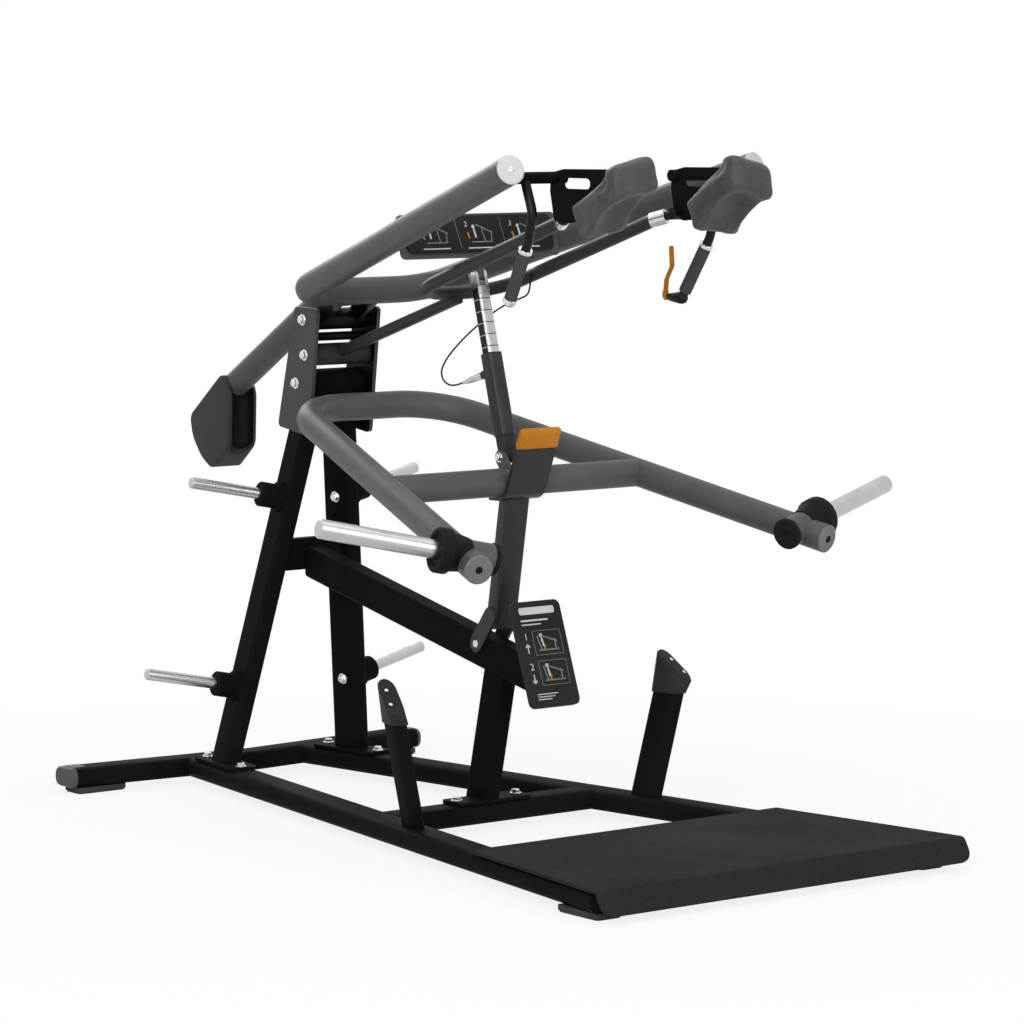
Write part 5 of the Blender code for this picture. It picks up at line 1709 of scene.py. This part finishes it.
@dataclass
class Placards:
    """Generic instruction print on the two placards."""

    brace_face: Point = (0.0, -0.0357, 0.5021)
    arm_face: Point = (0.0, 0.2469, 1.6035)
    search: float = 0.05
    sunk: float = 0.0001

    def build(self, shop: PaintShop) -> None:
        """Print both placards."""
        self.print_brace(shop)
        self.print_arm(shop)

    def sheet_on(self, node: str, face: Vector, up: Vector, facing: Vector) -> PrintSheet:
        """Sheet on a placard's front face."""
        place = surface(node, face + facing * self.search)[0]
        return PrintSheet(place - facing * self.sunk, up, facing)

    def print_brace(self, shop: PaintShop) -> None:
        """Upright placard on the brace: two numbered panels and short bars.

        Args:
            shop: Finishes of the machine.
        """
        facing = Vector((0, -0.9403, 0.3404))
        up = Vector((0, 0.3404, 0.9403))
        sheet = self.sheet_on("brace_placard", at(*self.brace_face), up, facing)
        light = [sheet.bar(0, 0.118, 0.118, 0.020), sheet.bar(-0.014, 0.092, 0.090, 0.0050),
                 sheet.bar(-0.026, 0.081, 0.066, 0.0035)]
        soft = []
        for number, y in (("1", 0.030), ("2", -0.052)):
            soft += sheet.frame_of(0.016, y, 0.092, 0.066, 0.0016)
            light.append(sheet.figure(number, -0.053, y + 0.018, 0.026))
            light += sheet.arrow(-0.053, y - 0.014, 0.026, 0.0 if number == "1" else math.pi)
            soft += [sheet.bar(0.016, y - 0.020, 0.066, 0.004), sheet.bar(-0.012, y, 0.004, 0.040, 0.2),
                     sheet.bar(0.018, y + 0.012, 0.062, 0.004, -0.35), sheet.bar(0.040, y - 0.006, 0.004, 0.030)]
            light += [sheet.disc(-0.004, y + 0.020, 0.0055), sheet.bar(-0.001, y + 0.002, 0.0055, 0.024, 0.15)]
        light += [sheet.bar(-0.020, -0.108, 0.070, 0.0026), sheet.bar(-0.026, -0.115, 0.058, 0.0026),
                  sheet.bar(-0.032, -0.122, 0.046, 0.0026)]
        accent = [sheet.bar(0.003, y - 0.013, 0.006, 0.014, -0.3) for y in (0.030, -0.052)]
        self.finish("brace_print", light, soft, accent, Body.BASE, shop)

    def print_arm(self, shop: PaintShop) -> None:
        """Wide placard on the pad arm: three panels parted by slanted strokes.

        Args:
            shop: Finishes of the machine.
        """
        facing = Vector((0, -1, 0.23)).normalized()
        up = Vector((0, 0.23, 1)).normalized()
        sheet = self.sheet_on("arm_placard", at(*self.arm_face), up, facing)
        light = []
        soft = [sheet.bar(-0.075, 0.002, 0.0018, 0.082, 0.18), sheet.bar(0.075, 0.002, 0.0018, 0.082, 0.18)]
        accent = []
        for number, x in (("1", -0.150), ("2", 0.0), ("3", 0.150)):
            light += [sheet.figure(number, x - 0.046, 0.026, 0.020), sheet.bar(x, -0.038, 0.090, 0.0034),
                      sheet.disc(x - 0.022, 0.020, 0.005), sheet.bar(x - 0.018, 0.002, 0.0055, 0.026, 0.2)]
            soft += [sheet.bar(x + 0.004, -0.022, 0.070, 0.0035), sheet.bar(x + 0.014, 0.014, 0.060, 0.0035, -0.4),
                     sheet.bar(x + 0.036, -0.010, 0.0035, 0.026), sheet.bar(x + 0.010, -0.004, 0.0035, 0.034, 0.25)]
            accent.append(sheet.bar(x - 0.040, -0.004, 0.006, 0.018, 0.3))
        self.finish("arm_print", light, soft, accent, Body.PAD_ARM, shop)

    def finish(self, name: str, light: Pieces, soft: Pieces, accent: Pieces, body: Body, shop: PaintShop) -> None:
        """Join the print by its ink and dress it.

        Args:
            name: Name to give.
            light: Pieces in white ink.
            soft: Pieces in grey ink.
            accent: Pieces in orange ink.
            body: Body that carries the piece.
            shop: Finishes of the machine.
        """
        dress(join(name + "_light", light), body, shop.print_white)
        dress(join(name + "_soft", soft), body, shop.print_grey)
        dress(join(name + "_accent", accent), body, shop.orange)


# Studio

@dataclass
class Studio:
    """Camera at the photograph's angle, pale floor and soft lamps."""

    lens_mm: float = 147.7
    camera_at: Point = (-6.83, -8.69, 2.002)
    camera_turn: Point = (84.18, 0.0, -37.82)
    floor_size: float = 60.0
    floor_glow: tuple[float, float, float, float] = (1.4, 2.6, 0.84, 1.0)
    fill: float = 0.32

    def build(self) -> None:
        """Set up the whole studio."""
        bpy.context.scene.view_settings.view_transform = "Standard"
        self.add_camera()
        self.add_world()
        self.add_floor()
        self.add_lamps()

    def add_camera(self) -> None:
        """Camera solved from the photograph."""
        data = bpy.data.cameras.new("camera")
        data.lens = self.lens_mm
        data.sensor_width = 36.0
        data.clip_end = 200.0
        camera = bpy.data.objects.new("camera", data)
        camera.location = at(*self.camera_at)
        camera.rotation_euler = [math.radians(angle) for angle in self.camera_turn]
        bpy.context.collection.objects.link(camera)
        bpy.context.scene.camera = camera

    def add_world(self) -> None:
        """White backdrop to the eye and in reflections, dimmer fill light for all else."""
        world = bpy.data.worlds.new("studio")
        bpy.context.scene.world = world
        world.use_nodes = True
        tree = world.node_tree
        background = tree.nodes["Background"]
        background.inputs["Color"].default_value = (1, 1, 1, 1)
        strength = tree.nodes.new("ShaderNodeMapRange")
        strength.inputs["To Min"].default_value = self.fill
        strength.inputs["To Max"].default_value = 1.0
        tree.links.new(self.seen(tree), strength.inputs["Value"])
        tree.links.new(strength.outputs["Result"], background.inputs["Strength"])

    @staticmethod
    def seen(tree: bpy.types.NodeTree) -> bpy.types.NodeSocket:
        """One for rays from the eye, straight, mirrored or through glass, and nought for the rest.

        Args:
            tree: Node tree to add to.

        Returns:
            Value socket.
        """
        path = tree.nodes.new("ShaderNodeLightPath")
        found = path.outputs["Is Camera Ray"]
        for ray in ("Is Glossy Ray", "Is Transmission Ray"):
            larger = tree.nodes.new("ShaderNodeMath")
            larger.operation = "MAXIMUM"
            tree.links.new(found, larger.inputs[0])
            tree.links.new(path.outputs[ray], larger.inputs[1])
            found = larger.outputs["Value"]
        return found

    def add_floor(self) -> None:
        """White floor that keeps a soft shadow near the machine."""
        clear_selection()
        bpy.ops.mesh.primitive_plane_add(size=self.floor_size)
        floor = bpy.context.object
        floor.name = "studio_floor"
        material = bpy.data.materials.new("studio_floor")
        material.use_nodes = True
        tree = material.node_tree
        tree.nodes.remove(tree.nodes["Principled BSDF"])
        matt = tree.nodes.new("ShaderNodeBsdfDiffuse")
        matt.inputs["Color"].default_value = (0.92, 0.92, 0.92, 1)
        glow = tree.nodes.new("ShaderNodeEmission")
        glow.inputs["Strength"].default_value = 1.0
        coords = tree.nodes.new("ShaderNodeTexCoord")
        reach = tree.nodes.new("ShaderNodeVectorMath")
        reach.operation = "LENGTH"
        tree.links.new(coords.outputs["Object"], reach.inputs[0])
        share = tree.nodes.new("ShaderNodeMapRange")
        for socket, value in zip(("From Min", "From Max", "To Min", "To Max"), self.floor_glow):
            share.inputs[socket].default_value = value
        tree.links.new(reach.outputs["Value"], share.inputs["Value"])
        lit = tree.nodes.new("ShaderNodeMath")
        lit.operation = "MULTIPLY"
        tree.links.new(self.seen(tree), lit.inputs[0])
        tree.links.new(share.outputs["Result"], lit.inputs[1])
        blend = tree.nodes.new("ShaderNodeMixShader")
        tree.links.new(lit.outputs["Value"], blend.inputs[0])
        tree.links.new(matt.outputs[0], blend.inputs[1])
        tree.links.new(glow.outputs[0], blend.inputs[2])
        tree.links.new(blend.outputs[0], tree.nodes["Material Output"].inputs["Surface"])
        floor.data.materials.append(material)

    def add_lamps(self) -> None:
        """Large soft lamps: overhead, from the camera's left, and a low fill from the right."""
        lamps = (
            ("overhead", (0.0, -0.4, 5.5), (0, 0, 0), 6.0, 110.0),
            ("key", (-5.0, -4.0, 3.4), (0, 0, 0.9), 3.2, 200.0),
            ("fill", (1.0, -6.2, 2.2), (0, 0, 0.8), 3.0, 90.0),
            ("back", (1.5, 5.5, 3.8), (0, 0, 0.9), 3.0, 100.0),
        )
        for name, place, target, size, power in lamps:
            data = bpy.data.lights.new(name, "AREA")
            data.size = size
            data.energy = power
            lamp = bpy.data.objects.new(name, data)
            lamp.location = place
            aimed = Vector(target) - Vector(place)
            lamp.rotation_euler = aimed.to_track_quat("-Z", "Y").to_euler()
            bpy.context.collection.objects.link(lamp)


def main() -> None:
    """Dress the machine piece by piece and set up the studio."""
    logging.basicConfig(level=logging.INFO, format="%(name)s: %(message)s")
    Studio().build()
    shop = PaintShop()
    shop.mix_all()
    shop.paint_frame()
    ReleaseCable().build(shop)
    ShoulderPads().build(shop)
    Counterweight().build(shop)
    SoftMouldings().build(shop)
    DeckSheet().build(shop)
    LinkTrim().build(shop)
    RearCapBands().build(shop)
    Fastenings().build(shop)
    LoadArmTrim().build(shop)
    HandleTrim().build(shop)
    StrutTrim().build(shop)
    StopTrim().build(shop)
    Placards().build(shop)
    RoundWork().build()


if __name__ == "__main__":
    main()
